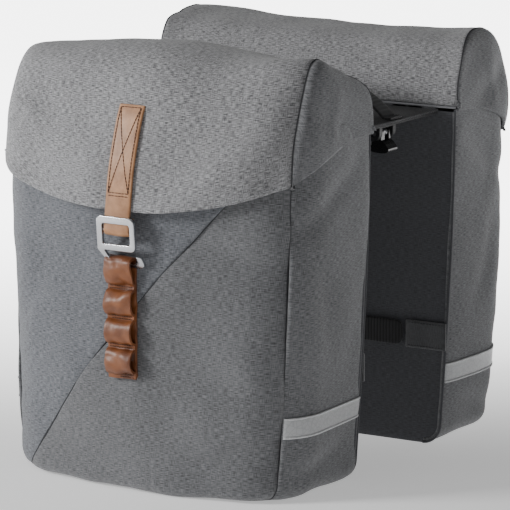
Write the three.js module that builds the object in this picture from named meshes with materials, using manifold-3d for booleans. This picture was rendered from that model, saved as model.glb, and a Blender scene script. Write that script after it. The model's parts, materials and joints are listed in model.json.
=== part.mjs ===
// Double bicycle pannier: two mirrored soft bags joined by a stiff bridge board that lies across the rack
// and carries a snap-on adapter. Each lid closes with a leather strap, a flat G-hook and a leather ladder.
// Millimetres, +Z up. The origin is on the floor, midway between the bags. +X points to the bicycle's tail.
// The right bag lies at +Y and the left bag is its mirror image at -Y.
import * as THREE from 'three';
import { mergeVertices } from 'three/addons/utils/BufferGeometryUtils.js';
import Module from 'manifold-3d';

const wasm = await Module();
wasm.setup();

// ---- Driving dimensions -----------------------------------------------------------------------------

const RACK_FACE = 75;            // from the middle to the face of a bag that lies against the rack
const CORNER_FRONT = 194.5;      // from the middle to the front of a bag, at its corners
const FRONT_BULGE = 25.5;        // how far the filled front bows out beyond its corners
const WIDTH_TOP = 313;           // bag's width along X, at the lid's hem
const WIDTH_BOTTOM = 286;
const HEM_Z = 311;               // lid's hem on the rack side, which is the lid's hinge line
const MOUTH_Z = 324;             // upper edge of the bag's own walls, under the lid
const CORNER_RADIUS = 46;        // upright front corners, seen from above
const SIDE_EDGE_RADIUS = 25;     // rounded lower corners, seen from the front
const FRONT_EDGE_RADIUS = 12;    // rounded lower front edge
const SEAM_ANGLE = Math.PI / 4;  // where the front panel meets the gusset, round the front corner
const MOUTH_DRAW = 5;            // how far the front draws in towards the mouth
const SKIN = 4;                  // foam-backed cloth of the walls
const GAP = 0.4;                 // clearance between neighbouring pieces

const LID_TOP_Z = 377;
const EAR_TOP_Z = 375;
const LID_SKIN = 3;
const LID_OVERHANG = 10;         // from the bag's front to the lid's skirt
const SKIRT_MIDDLE_Z = 249;      // lower edge of the skirt at the strap
const SKIRT_CORNER_RISE = 27;    // how much higher the edge is at the skirt's corners

const STRAP_WIDTH = 25;
const STRAP_THICKNESS = 2.6;
const STRAP_TOP_Z = 336;
const HOOK_WIDTH = 38.5;
const HOOK_THICKNESS = 4;
const HOOK_PIVOT = { out: 230.5, z: 233 };
const HOOK_BAR_RADIUS = 2.2;
const HOOK_SET_FORWARD = 3.8;    // from the pivot bar to the middle of the hook's plate
const HOOK_TILT = THREE.MathUtils.degToRad(15);

const LADDER_WIDTH = 31;
const LADDER_LEATHER = 2.2;
const LADDER_TACKS_Z = [209, 184, 159, 134, 106];
const LADDER_ARCH = 6.8;           // how far a loop stands off the strip behind it

const REFLECTOR_HEIGHT = 18;
const REFLECTOR_Z = 67;

const BRIDGE_HALF_LENGTH = 140;
const BRIDGE_TOP = 308.5;
const BRIDGE_THICKNESS = 4;
const HANDLE_WIDTH = 20;
const HANDLE_WEBBING = 2.5;
const HANDLE_RISE = 34;
const HANDLE_HALF_LENGTH = 131;  // from the middle to where the arch comes down on the bridge
const HANDLE_FREE_HALF = 105;    // the part that swings; beyond it the webbing is stiffened by its stitching

const ADAPTER_TOP = BRIDGE_TOP - BRIDGE_THICKNESS - GAP;
const ADAPTER_DEPTH = 10;        // plate's top to the ribs' lower edge
const ADAPTER_SKIN = 2.6;
const ADAPTER_HALF_LENGTH = 112;
const ADAPTER_HALF_WIDTH = 38;
const RACK_BAR_DIAMETER = 8;     // the rack's cross bars that the jaws and the latch hold
const SCREW_PLACES = [[-84, -29], [-84, 29], [84, -29], [84, 29]];
const SCREW_RADIUS = 2.5;
const LATCH_PIN = { x: 124, z: 296.4, radius: 2 };
const LATCH_HALF_WIDTH = 8;

// ---- Materials --------------------------------------------------------------------------------------

function finish(colour, roughness, metalness = 0) {
  return new THREE.MeshStandardMaterial({ color: colour, roughness, metalness });
}

const materials = {
  heather: finish('#7e8085', 0.95),
  greyCloth: finish('#6e6e70', 0.95),
  gussetCloth: finish('#565658', 0.95),
  lidCloth: finish('#a2a2a4', 0.95),
  rackCloth: finish('#303033', 0.9),
  board: finish('#4b4b4d', 0.7),
  leather: finish('#b89c86', 0.6),
  darkLeather: finish('#7e533c', 0.55),
  aluminium: finish('#d8dade', 0.3, 1),
  reflective: finish('#82817e', 0.5),
  webbing: finish('#1d1d20', 0.85),
  nylon: finish('#17181a', 0.5),
  steel: finish('#a4a6a8', 0.3, 1),
};

// ---- Solids -----------------------------------------------------------------------------------------

/** A shape pushed from z = 0 to z = depth. */
function extrude(shape, depth, curveSegments = 8) {
  return new THREE.ExtrudeGeometry(shape, { depth, bevelEnabled: false, curveSegments });
}

function polygon(points) {
  return new THREE.Shape(points.map(([x, y]) => new THREE.Vector2(x, y)));
}

/** A profile drawn as (out, height), centred on x = 0; "out" is the distance from Y = 0. */
function extrudeAlongX(shape, width, curveSegments = 8) {
  const geometry = extrude(shape, width, curveSegments);
  geometry.applyMatrix4(new THREE.Matrix4().set(
    0, 0, 1, -width / 2,
    1, 0, 0, 0,
    0, 1, 0, 0,
    0, 0, 0, 1,
  ));
  return geometry;
}

/** A profile drawn as (x, height), pushed along Y from one distance to another. */
function extrudeAlongY(shape, from, to, curveSegments = 8) {
  const geometry = extrude(shape, to - from, curveSegments);
  geometry.rotateX(Math.PI / 2);
  geometry.translate(0, to, 0);
  return geometry;
}

function slab(low, high) {
  const size = high.map((value, axis) => value - low[axis]);
  const geometry = new THREE.BoxGeometry(...size);
  geometry.translate(...low.map((value, axis) => value + size[axis] / 2));
  return geometry;
}

function toSolid(geometry) {
  const bare = geometry.clone();
  bare.deleteAttribute('normal');
  bare.deleteAttribute('uv');
  const merged = mergeVertices(bare, 1e-4);
  return new wasm.Manifold(new wasm.Mesh({
    numProp: 3,
    vertProperties: new Float32Array(merged.attributes.position.array),
    triVerts: new Uint32Array(merged.index.array),
  }));
}

function toGeometry(solid) {
  const mesh = solid.getMesh();
  const geometry = new THREE.BufferGeometry();
  geometry.setAttribute('position', new THREE.BufferAttribute(new Float32Array(mesh.vertProperties), 3));
  geometry.setIndex(new THREE.BufferAttribute(new Uint32Array(mesh.triVerts), 1));
  return geometry;
}

function join(first, ...others) {
  return toGeometry(others.reduce((solid, other) => solid.add(toSolid(other)), toSolid(first)));
}

function cut(body, ...tools) {
  return toGeometry(tools.reduce((solid, tool) => solid.subtract(toSolid(tool)), toSolid(body)));
}

function common(first, second) {
  return toGeometry(toSolid(first).intersect(toSolid(second)));
}

/** Six times the volume that an indexed surface holds, negative when its faces point in. */
function signedVolume(positions, index) {
  const corners = index.map((i) => new THREE.Vector3().fromArray(positions, 3 * i));
  let sum = 0;
  for (let i = 0; i < corners.length; i += 3) {
    sum += corners[i].dot(corners[i + 1].clone().cross(corners[i + 2]));
  }
  return sum;
}

/** A closed sheet between two equal grids of points, given as rows of Vector3. */
function sheetBetween(outer, inner) {
  const rows = outer.length;
  const columns = outer[0].length;
  const positions = [...outer.flat(), ...inner.flat()].flatMap((point) => point.toArray());
  const at = (layer, row, column) => layer * rows * columns + row * columns + column;
  const index = [];
  const quad = (a, b, c, d) => index.push(a, b, c, a, c, d);
  for (let row = 0; row + 1 < rows; row += 1) {
    for (let column = 0; column + 1 < columns; column += 1) {
      quad(at(0, row, column), at(0, row + 1, column), at(0, row + 1, column + 1), at(0, row, column + 1));
      quad(at(1, row, column), at(1, row, column + 1), at(1, row + 1, column + 1), at(1, row + 1, column));
    }
    quad(at(0, row + 1, 0), at(0, row, 0), at(1, row, 0), at(1, row + 1, 0));
    const last = columns - 1;
    quad(at(0, row, last), at(0, row + 1, last), at(1, row + 1, last), at(1, row, last));
  }
  for (let column = 0; column + 1 < columns; column += 1) {
    quad(at(0, 0, column), at(0, 0, column + 1), at(1, 0, column + 1), at(1, 0, column));
    const last = rows - 1;
    quad(at(0, last, column + 1), at(0, last, column), at(1, last, column), at(1, last, column + 1));
  }
  if (signedVolume(positions, index) < 0) {
    index.reverse();
  }
  const geometry = new THREE.BufferGeometry();
  geometry.setAttribute('position', new THREE.BufferAttribute(new Float32Array(positions), 3));
  geometry.setIndex(index);
  return geometry;
}

/** A sheet under a surface(u, v): its inner side lies one thickness inside, along the surface's normal. */
function sheetUnder(surface, us, vs, thickness, lift = 0) {
  const step = 1e-3;
  const normal = (u, v) => {
    const along = surface(u + step, v).sub(surface(u - step, v));
    const up = surface(u, v + step).sub(surface(u, v - step));
    return along.cross(up).normalize();
  };
  const layer = (depth) => us.map((u) => vs.map((v) => surface(u, v).addScaledVector(normal(u, v), -depth)));
  return sheetBetween(layer(-lift), layer(thickness - lift));
}

function steps(from, to, count) {
  return Array.from({ length: count + 1 }, (_, i) => from + (to - from) * i / count);
}

// ---- The bag's form ---------------------------------------------------------------------------------
// Points of a bag are (x, out, z). A level is a height with the bag's section there: half its width, the
// distance of its front at the corners, the corners' radius and the bulge. "skin" is how deep inside.

/** How far a rounded edge has drawn in at a height above its lowest point. */
function edgeInset(radius, height) {
  return height < radius ? radius - Math.sqrt(Math.max(radius ** 2 - (radius - height) ** 2, 0)) : 0;
}

function halfWidth(z) {
  const rise = Math.sin(Math.PI / 2 * Math.min(z / HEM_Z, 1));
  return (WIDTH_BOTTOM + (WIDTH_TOP - WIDTH_BOTTOM) * rise) / 2;
}

function level(z, skin) {
  const height = z - skin;
  const sideInset = skin + edgeInset(SIDE_EDGE_RADIUS - skin, height);
  const frontInset = skin + edgeInset(FRONT_EDGE_RADIUS - skin, height);
  const draw = THREE.MathUtils.smoothstep(z, 250, MOUTH_Z);
  return {
    z,
    half: halfWidth(z) - sideInset,
    front: CORNER_FRONT - frontInset - MOUTH_DRAW * draw,
    radius: CORNER_RADIUS - (sideInset + frontInset) / 2,
    bulge: FRONT_BULGE * (0.7 + 0.3 * Math.min(z / 120, 1) - 0.4 * draw),
  };
}

/** Heights of the bag's levels: close together round the lower edge, then even up to the mouth. */
function levels(skin) {
  const radius = SIDE_EDGE_RADIUS - skin;
  const round = steps(0, Math.PI / 2, 4).map((angle) => skin + radius * (1 - Math.cos(angle)));
  const walls = steps(SIDE_EDGE_RADIUS, MOUTH_Z, 6).slice(1);
  return [...round, ...walls].map((z) => level(z, skin));
}

/** A point of a level's outline on its front corner, by its angle from the front towards the side. */
function cornerPoint({ half, front, radius, bulge, z }, angle, sign) {
  const x = half - radius + radius * Math.sin(angle);
  const out = front - radius + radius * Math.cos(angle);
  return new THREE.Vector3(sign * x, out + bulge * Math.cos(Math.PI / 2 * x / half), z);
}

/** A point of a level's front, between the two rounded corners. */
function frontPoint({ half, front, bulge, z }, x) {
  return new THREE.Vector3(x, front + bulge * Math.cos(Math.PI / 2 * x / half), z);
}

/** The front wall's outline, from the seam on the -X side to the seam on the +X side. */
function frontOutline(section) {
  const reach = section.half - section.radius;
  const bend = steps(SEAM_ANGLE, 0, 3);
  return [
    ...bend.map((angle) => cornerPoint(section, angle, -1)),
    ...steps(-reach, reach, 8).slice(1, -1).map((x) => frontPoint(section, x)),
    ...bend.toReversed().map((angle) => cornerPoint(section, angle, 1)),
  ];
}

/** The side wall's outline, from the rack panel round the corner to just short of the front seam. */
function gussetOutline(section, sign, seamGap = GAP) {
  const first = RACK_FACE + SKIN + GAP;
  const last = section.front - section.radius;
  const stop = SEAM_ANGLE + seamGap / section.radius;
  return [
    ...steps(first, last, 3).slice(0, -1)
      .map((out) => new THREE.Vector3(sign * section.half, out, section.z)),
    ...steps(Math.PI / 2, stop, 3).map((angle) => cornerPoint(section, angle, sign)),
  ];
}

function frontWall() {
  return sheetBetween(levels(0).map(frontOutline), levels(SKIN).map(frontOutline));
}

/** The diagonal seam across the front, as a line of (x, z) from below the lower corner to above the mouth. */
function seamLine() {
  const line = new THREE.CubicBezierCurve(
    new THREE.Vector2(-122, -6),
    new THREE.Vector2(-84, 72),
    new THREE.Vector2(0, 156),
    new THREE.Vector2(168, 340),
  );
  return line.getPoints(14);
}

/** Everything above the diagonal seam, or below it, as a block through the front wall. */
function seamBlock(above) {
  const lift = above ? GAP / 2 : -GAP / 2;
  const line = seamLine().map((point) => [point.x - lift, point.y + lift]);
  const corner = above ? [[170, 400], [-170, 400], [-170, -6]] : [[168, -6]];
  return extrudeAlongY(polygon([...line, ...corner]), RACK_FACE, 260);
}

function sideGusset(sign) {
  const outline = (section) => gussetOutline(section, sign);
  return sheetBetween(levels(0).map(outline), levels(SKIN).map(outline));
}

/** The bag's outline seen from the front, with its two rounded lower corners. */
function uprightOutline(inset, top) {
  const radius = SIDE_EDGE_RADIUS - inset;
  const round = steps(0, Math.PI / 2, 5).map((angle) => {
    const z = inset + radius * (1 - Math.cos(angle));
    return [level(z, inset).half, z];
  });
  const side = [...round, ...steps(SIDE_EDGE_RADIUS, top, 4).slice(1).map((z) => [halfWidth(z) - inset, z])];
  return [...side, ...side.toReversed().map(([x, z]) => [-x, z])];
}

function rackPanel() {
  return extrudeAlongY(polygon(uprightOutline(0, HEM_Z - 2)), RACK_FACE, RACK_FACE + SKIN);
}

function backBoard() {
  const from = RACK_FACE + SKIN + GAP;
  return extrudeAlongY(polygon(uprightOutline(SKIN + 6, HEM_Z - 12)), from, from + 2.4);
}

/** A flat floor piece inside the walls, with the bag's rounded front. */
function floorPlate(z, thickness, inset, rackInset) {
  const section = level(0, 0);
  const inner = {
    ...section,
    half: section.half - inset,
    front: section.front - inset,
    radius: section.radius - inset,
  };
  const back = RACK_FACE + SKIN + rackInset;
  const side = steps(Math.PI / 2, SEAM_ANGLE, 3).slice(0, -1).map((angle) => cornerPoint(inner, angle, 1));
  const outline = [
    new THREE.Vector3(-inner.half, back, z),
    ...side.map((point) => new THREE.Vector3(-point.x, point.y, z)),
    ...frontOutline(inner),
    ...side.toReversed(),
    new THREE.Vector3(inner.half, back, z),
  ];
  const geometry = extrude(polygon(outline.map((point) => [point.x, point.y])), thickness);
  geometry.translate(0, 0, z);
  return geometry;
}

/** A retroreflective strip sewn round a side wall. */
function reflector(sign) {
  const heights = steps(REFLECTOR_Z - REFLECTOR_HEIGHT / 2, REFLECTOR_Z + REFLECTOR_HEIGHT / 2, 2);
  const grid = (lift) => heights.map((z) => {
    const section = level(z, 0);
    const lifted = {
      ...section,
      half: section.half + lift,
      radius: section.radius + lift,
      front: section.front + lift,
    };
    return gussetOutline(lifted, sign, 2 * GAP);
  });
  return sheetBetween(grid(GAP + 0.8), grid(GAP));
}

// ---- Lid --------------------------------------------------------------------------------------------

/** The lid's section from the hem over the top to the skirt: (share of the reach to the front, height). */
const lidProfile = new THREE.SplineCurve([
  new THREE.Vector2(0, HEM_Z + 1),
  new THREE.Vector2(0, 328),
  new THREE.Vector2(0.04, 344),
  new THREE.Vector2(0.15, 362),
  new THREE.Vector2(0.34, 373),
  new THREE.Vector2(0.55, LID_TOP_Z),
  new THREE.Vector2(0.73, 374),
  new THREE.Vector2(0.84, 363),
  new THREE.Vector2(0.9, 343),
  new THREE.Vector2(0.95, 311),
  new THREE.Vector2(0.985, 281),
  new THREE.Vector2(1, SKIRT_MIDDLE_Z),
]);

const LID_APEX = 5 / 11;         // place of the profile's highest point along it

const lidSection = {
  z: HEM_Z,
  half: WIDTH_TOP / 2 + LID_SKIN + 1,
  front: CORNER_FRONT + LID_OVERHANG,
  radius: CORNER_RADIUS + 4,
  bulge: FRONT_BULGE,
};

function lidFront(x) {
  const { half, front, radius, bulge } = lidSection;
  const past = Math.max(Math.abs(x) - (half - radius), 0);
  const round = radius - Math.sqrt(Math.max(radius ** 2 - past ** 2, 0));
  return front - round + bulge * Math.cos(Math.PI / 2 * x / half);
}

const LID_SEAM_X = cornerPoint(lidSection, SEAM_ANGLE, 1).x;

/** Where the lid's skirt ends, higher towards its corners. */
function skirtZ(x) {
  return SKIRT_MIDDLE_Z + SKIRT_CORNER_RISE * (Math.abs(x) / LID_SEAM_X) ** 2.2;
}

/** A point on the lid's top panel: across from seam to seam, and along its profile. */
function lidPoint(across, along) {
  const x = across * (LID_SEAM_X - 2);
  const point = lidProfile.getPoint(THREE.MathUtils.clamp(along, 0, 1));
  const drop = (point.y - SKIRT_MIDDLE_Z) / (LID_TOP_Z - SKIRT_MIDDLE_Z);
  const front = THREE.MathUtils.smoothstep(along, 0.55, 1);
  const z = point.y + front * (1 - drop) * (skirtZ(x) - SKIRT_MIDDLE_Z);
  return new THREE.Vector3(x, RACK_FACE + point.x * (lidFront(x) - RACK_FACE), z);
}

function lidTop() {
  return sheetUnder(lidPoint, steps(-1, 1, 8), steps(0.002, 0.998, 15), LID_SKIN);
}

/** The share of the reach where the lid's profile passes a height, between two places along it. */
function profileShare(z, low, high) {
  let [from, to] = [low, high];
  for (let turn = 0; turn < 20; turn += 1) {
    const middle = (from + to) / 2;
    if (lidProfile.getPoint(middle).y < z) {
      from = middle;
    } else {
      to = middle;
    }
  }
  return lidProfile.getPoint(to).x;
}

/** A point on the ear at +X: along from the rack side round the corner to the seam, and up to its top. */
function earPoint(along, up) {
  const { half, front, radius } = lidSection;
  const flat = front - radius - RACK_FACE;
  const run = along * (flat + radius * (Math.PI / 2 - SEAM_ANGLE));
  const corner = cornerPoint(lidSection, Math.PI / 2 - Math.max(run - flat, 0) / radius, 1);
  const plan = run < flat ? new THREE.Vector2(half, RACK_FACE + run) : new THREE.Vector2(corner.x, corner.y);
  const reach = lidFront(LID_SEAM_X) - RACK_FACE;
  const share = (plan.y - RACK_FACE) / reach;
  const low = HEM_Z - 2 - (HEM_Z - 2 - skirtZ(LID_SEAM_X)) * share ** 2.2;
  const z = low + (EAR_TOP_Z - low) * up;
  const rackShare = z > HEM_Z + 2 ? Math.max(profileShare(z, 0, LID_APEX), 0) : 0;
  const frontShare = profileShare(z, 1, LID_APEX);
  const lean = 1 - Math.sqrt(1 - up ** 8);
  const x = plan.x - lean * Math.max(plan.x - LID_SEAM_X - 1, 0);
  return new THREE.Vector3(x, RACK_FACE + reach * (rackShare + (frontShare - rackShare) * share), z);
}

function lidEar(sign) {
  const surface = (u, v) => {
    const along = THREE.MathUtils.clamp(sign > 0 ? u : 1 - u, 0, 1);
    const point = earPoint(along, THREE.MathUtils.clamp(v, 0, 1));
    return new THREE.Vector3(sign * point.x, point.y, point.z);
  };
  return sheetUnder(surface, steps(0, 1, 9), [0, 0.3, 0.55, 0.75, 0.88, 0.96, 0.995], LID_SKIN - 0.5);
}

// ---- Closing strap, hook and ladder -----------------------------------------------------------------

/** Points along the lid's middle, from a height down to the skirt, lifted off the cloth. */
function lidFrontLine(top, lift, count) {
  const start = steps(0.6, 1, 200).find((along) => lidPoint(0, along).z <= top);
  return steps(start, 0.985, count).map((along) => {
    const here = lidPoint(0, along);
    const ahead = lidPoint(0, along + 1e-3).sub(lidPoint(0, along - 1e-3)).normalize();
    return [here.y - ahead.z * lift, here.z + ahead.y * lift];
  });
}

/** The leather strap: sewn down the lid, then hanging free, and folded round the hook's pivot bar. */
function lidStrap() {
  const near = lidFrontLine(STRAP_TOP_Z, 2 * GAP, 6);
  const far = lidFrontLine(STRAP_TOP_Z, 2 * GAP + STRAP_THICKNESS, 6);
  const { out, z } = HOOK_PIVOT;
  const bore = HOOK_BAR_RADIUS + 0.5;
  const loop = bore + STRAP_THICKNESS;
  const round = (angle) => [out + loop * Math.cos(angle), z + loop * Math.sin(angle)];
  const wrap = steps(-Math.PI - 0.25, -0.1, 8).map(round);
  const tail = near.at(-1);
  const end = [tail[0] - 0.4, tail[1] - 3.4];
  const shape = polygon([...near.slice(0, -1), end, ...wrap, ...far.toReversed()]);
  const hole = new THREE.Path();
  hole.absarc(out, z, bore, 0, 2 * Math.PI);
  shape.holes.push(hole);
  return extrudeAlongX(shape, STRAP_WIDTH, 10);
}

/** A flat G-hook: a rounded frame with a set-back pivot bar, and a hooked arm below it. */
function hook() {
  const half = HOOK_WIDTH / 2;
  const frame = new THREE.Shape();
  frame.moveTo(-half + 5, 17);
  frame.lineTo(half - 6, 15.5);
  frame.quadraticCurveTo(half - 1, 15, half - 1, 10);
  frame.lineTo(half, -12);
  frame.quadraticCurveTo(half, -18, half - 6, -18);
  frame.lineTo(-13, -17.5);
  frame.quadraticCurveTo(-16, -17.5, -16, -20.5);
  frame.lineTo(-16, -24.5);
  frame.quadraticCurveTo(-16, -28, -12, -28);
  frame.lineTo(half - 4, -28);
  frame.quadraticCurveTo(half - 1, -28, half - 1, -21.5);
  frame.lineTo(half + 5.5, -22);
  frame.quadraticCurveTo(half + 5.5, -32.5, half - 2, -32.5);
  frame.lineTo(-11, -32.5);
  frame.quadraticCurveTo(-15, -32.5, -17, -29.5);
  frame.lineTo(-half - 0.5, -22);
  frame.lineTo(-half, 12);
  frame.quadraticCurveTo(-half, 17, -half + 5, 17);
  const opening = new THREE.Path();
  opening.moveTo(-14, 8.5);
  opening.lineTo(-14, -9.5);
  opening.quadraticCurveTo(-14, -11.5, -12, -11.5);
  opening.lineTo(12, -11.5);
  opening.quadraticCurveTo(14, -11.5, 14, -9.5);
  opening.lineTo(14, 8);
  opening.quadraticCurveTo(14, 10, 12, 10);
  opening.lineTo(-12, 10.5);
  opening.quadraticCurveTo(-14, 10.5, -14, 8.5);
  frame.holes.push(opening);
  const plate = new THREE.ExtrudeGeometry(frame, {
    depth: HOOK_THICKNESS - 1.4,
    bevelThickness: 0.7,
    bevelSize: 0.7,
    bevelOffset: -0.7,
    bevelSegments: 1,
    curveSegments: 3,
  });
  plate.translate(0, 0, HOOK_SET_FORWARD - HOOK_THICKNESS / 2 + 0.7);
  const bar = new THREE.CylinderGeometry(HOOK_BAR_RADIUS, HOOK_BAR_RADIUS, 32, 12);
  bar.rotateZ(Math.PI / 2);
  const geometry = join(plate, bar);
  geometry.rotateX(Math.PI / 2 + HOOK_TILT);
  geometry.scale(1, -1, 1);
  geometry.translate(0, HOOK_PIVOT.out, HOOK_PIVOT.z);
  return flipped(geometry);
}

/** Turns a geometry's faces over, after it was mirrored. */
function flipped(geometry) {
  geometry.index.array.reverse();
  return geometry;
}

/** The leather strip on the front: folded at its top, with a front layer tacked down between four loops. */
function loopLadder() {
  const face = (z) => frontPoint(level(z, 0), 0).y + GAP;
  const [foldZ, ...tacks] = LADDER_TACKS_Z;
  const bottom = tacks.at(-1) - 3;
  const arch = (from, to, open) => steps(0, 1, 8).map((t) => {
    const height = open ? Math.cos(Math.PI / 2 * t) ** 0.8 : Math.sin(Math.PI * t) ** 0.7;
    const z = from + (to - from) * t;
    return [face(z) + LADDER_LEATHER + LADDER_ARCH * height, z];
  });
  const thick = (points) => points.map(([out, z]) => [out + LADDER_LEATHER, z]);
  const front = thick(arch(foldZ, tacks[0], true));
  const holes = [[[face(foldZ) + LADDER_LEATHER, foldZ - 0.4], ...arch(foldZ - 0.4, tacks[0] + 2, true)]];
  for (let i = 1; i < tacks.length; i += 1) {
    front.push(...thick(arch(tacks[i - 1], tacks[i], false)).slice(1));
    holes.push(arch(tacks[i - 1] - 2, tacks[i] + 2, false));
  }
  const outline = [
    [face(bottom) + 2 * LADDER_LEATHER, bottom],
    [face(bottom), bottom],
    [face(120), 120],
    [face(foldZ), foldZ],
    [face(foldZ) + 1.5, foldZ + LADDER_LEATHER],
    [face(foldZ) + LADDER_ARCH + 2, foldZ + LADDER_LEATHER],
    ...front,
  ];
  const shape = polygon(outline.toReversed());
  shape.holes = holes.map(polygon);
  return extrudeAlongX(shape, LADDER_WIDTH);
}

// ---- Lower rack strap -------------------------------------------------------------------------------

/** A flat piece of webbing sewn on the rack side, with rounded ends where asked. */
function rackWebbing(fromX, toX, thickness, height, round = 0) {
  const z = 101;
  const shape = new THREE.Shape();
  shape.moveTo(fromX, z - height / 2);
  shape.lineTo(toX - round, z - height / 2);
  if (round > 0) {
    shape.absarc(toX - round, z, round, -Math.PI / 2, Math.PI / 2);
  }
  shape.lineTo(toX - round, z + height / 2);
  shape.lineTo(fromX, z + height / 2);
  const out = RACK_FACE - GAP;
  return extrudeAlongY(shape, out - thickness, out);
}

// ---- Bridge, handle and adapter ---------------------------------------------------------------------

function roundedPlate(halfX, halfY, radius, bottom, top) {
  const shape = new THREE.Shape();
  shape.moveTo(-halfX + radius, -halfY);
  shape.lineTo(halfX - radius, -halfY);
  shape.absarc(halfX - radius, -halfY + radius, radius, -Math.PI / 2, 0);
  shape.lineTo(halfX, halfY - radius);
  shape.absarc(halfX - radius, halfY - radius, radius, 0, Math.PI / 2);
  shape.lineTo(-halfX + radius, halfY);
  shape.absarc(-halfX + radius, halfY - radius, radius, Math.PI / 2, Math.PI);
  shape.lineTo(-halfX, -halfY + radius);
  shape.absarc(-halfX + radius, -halfY + radius, radius, Math.PI, 1.5 * Math.PI);
  const geometry = extrude(shape, top - bottom, 3);
  geometry.translate(0, 0, bottom);
  return geometry;
}

function upright(x, y, radius, bottom, top, sides = 12) {
  const geometry = new THREE.CylinderGeometry(radius, radius, top - bottom, sides);
  geometry.rotateX(Math.PI / 2);
  geometry.translate(x, y, (bottom + top) / 2);
  return geometry;
}

function bridgeBoard() {
  const bottom = BRIDGE_TOP - BRIDGE_THICKNESS;
  const plate = roundedPlate(BRIDGE_HALF_LENGTH, RACK_FACE - GAP, 3, bottom, BRIDGE_TOP);
  const hole = ([x, y]) => upright(x, y, SCREW_RADIUS + 0.4, bottom - 1, BRIDGE_TOP + 1);
  return cut(plate, ...SCREW_PLACES.map(hole));
}

/** Webbing of the handle over some places along X, seen from the side and pushed across its width. */
function handleWebbing(xs) {
  const arch = (x) => HANDLE_RISE * Math.max(1 - Math.abs(x / HANDLE_HALF_LENGTH) ** 4, 0);
  const lower = xs.map((x) => [x, BRIDGE_TOP + GAP + arch(x)]);
  const upper = lower.map(([x, z]) => [x, z + HANDLE_WEBBING]);
  return extrudeAlongY(polygon([...lower, ...upper.toReversed()]), -HANDLE_WIDTH / 2, HANDLE_WIDTH / 2);
}

function carryHandle() {
  const half = HANDLE_FREE_HALF - GAP / 2;
  return handleWebbing(steps(-1, 1, 18).map((t) => half * Math.sign(t) * Math.abs(t) ** 0.7));
}

/** The handle's end: the foot of the arch and the flat part that is sewn to the bridge. */
function handlePatch(sign) {
  const foot = steps(HANDLE_FREE_HALF + GAP / 2, HANDLE_HALF_LENGTH, 5);
  const xs = [...foot, BRIDGE_HALF_LENGTH - 0.6];
  return handleWebbing(sign > 0 ? xs : xs.map((x) => -x).toReversed());
}

/** A fixed jaw at the adapter's front end: it opens forwards, and its lip goes under the rack's cross bar. */
function jaw(y) {
  const top = ADAPTER_TOP - ADAPTER_DEPTH;
  const lip = top - RACK_BAR_DIAMETER - 0.6;
  const back = -ADAPTER_HALF_LENGTH + 14;
  const front = -ADAPTER_HALF_LENGTH - 2;
  const shape = new THREE.Shape();
  shape.moveTo(back + 6, top + 2);
  shape.lineTo(back + 6, lip);
  shape.quadraticCurveTo(back + 5, lip - 4.5, back - 2, lip - 4.5);
  shape.lineTo(front + 2, lip - 3.5);
  shape.quadraticCurveTo(front, lip - 3, front, lip - 1);
  shape.lineTo(front, lip + 0.8);
  shape.lineTo(back - 4, lip);
  shape.absarc(back - 4, (lip + top) / 2, (top - lip) / 2, -Math.PI / 2, Math.PI / 2);
  shape.lineTo(front, top);
  shape.lineTo(front, top + 2);
  return extrudeAlongY(shape, y - 4, y + 4, 6);
}

/** One cheek of the latch housing, which carries the pivot pin. */
function latchCheek(sign) {
  const inner = LATCH_HALF_WIDTH + 3 * GAP;
  const outer = inner + 5;
  const shape = new THREE.Shape();
  const { x, z } = LATCH_PIN;
  shape.moveTo(ADAPTER_HALF_LENGTH - 6, ADAPTER_TOP);
  shape.lineTo(ADAPTER_HALF_LENGTH - 6, ADAPTER_TOP - ADAPTER_DEPTH);
  shape.lineTo(x - 3, z - 5.4);
  shape.absarc(x, z, 6.2, -Math.PI / 2 - 0.5, 0);
  shape.lineTo(x + 6.2, ADAPTER_TOP);
  const from = sign > 0 ? inner : -outer;
  return extrudeAlongY(shape, from, from + outer - inner, 6);
}

/** The moulded adapter: a ribbed tray with screw bosses, two front jaws and the latch housing. */
function adapterPlate() {
  const bottom = ADAPTER_TOP - ADAPTER_DEPTH;
  const wall = 2.4;
  const pieces = [roundedPlate(ADAPTER_HALF_LENGTH, ADAPTER_HALF_WIDTH, 8, bottom, ADAPTER_TOP)];
  const tray = cut(
    pieces[0],
    roundedPlate(
      ADAPTER_HALF_LENGTH - wall,
      ADAPTER_HALF_WIDTH - wall,
      6,
      bottom - 1,
      ADAPTER_TOP - ADAPTER_SKIN,
    ),
  );
  const ribTop = ADAPTER_TOP - ADAPTER_SKIN + 0.5;
  const long = ADAPTER_HALF_LENGTH - 1;
  const broad = ADAPTER_HALF_WIDTH - 1;
  const ribs = [-14, 14].map((y) => slab([-long, y - 1.1, bottom], [long, y + 1.1, ribTop]));
  for (const x of [-84, -42, 42, 84]) {
    ribs.push(slab([x - 1.1, -broad, bottom], [x + 1.1, broad, ribTop]));
  }
  const bosses = SCREW_PLACES.map(([x, y]) => upright(x, y, 6, bottom, ribTop, 14));
  const pad = roundedPlate(22, 15, 3, bottom, ribTop);
  const head = roundedPlate(11, LATCH_HALF_WIDTH + 6.2, 2, ADAPTER_TOP - 2.6, ADAPTER_TOP);
  head.translate(ADAPTER_HALF_LENGTH + 7.2, 0, 0);
  const body = join(tray, ...ribs, ...bosses, pad, jaw(-26), jaw(26), head, latchCheek(-1), latchCheek(1));
  const windows = [-63, 63].flatMap((x) => [-25.5, 25.5].map((y) => {
    const opening = roundedPlate(13, 6, 3, bottom - 1, ADAPTER_TOP + 1);
    opening.translate(x, y, 0);
    return opening;
  }));
  const holes = SCREW_PLACES.map(([x, y]) => upright(x, y, SCREW_RADIUS + 0.3, bottom - 1, ADAPTER_TOP + 1));
  return cut(body, ...windows, ...holes, latchPin(0.25));
}

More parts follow.
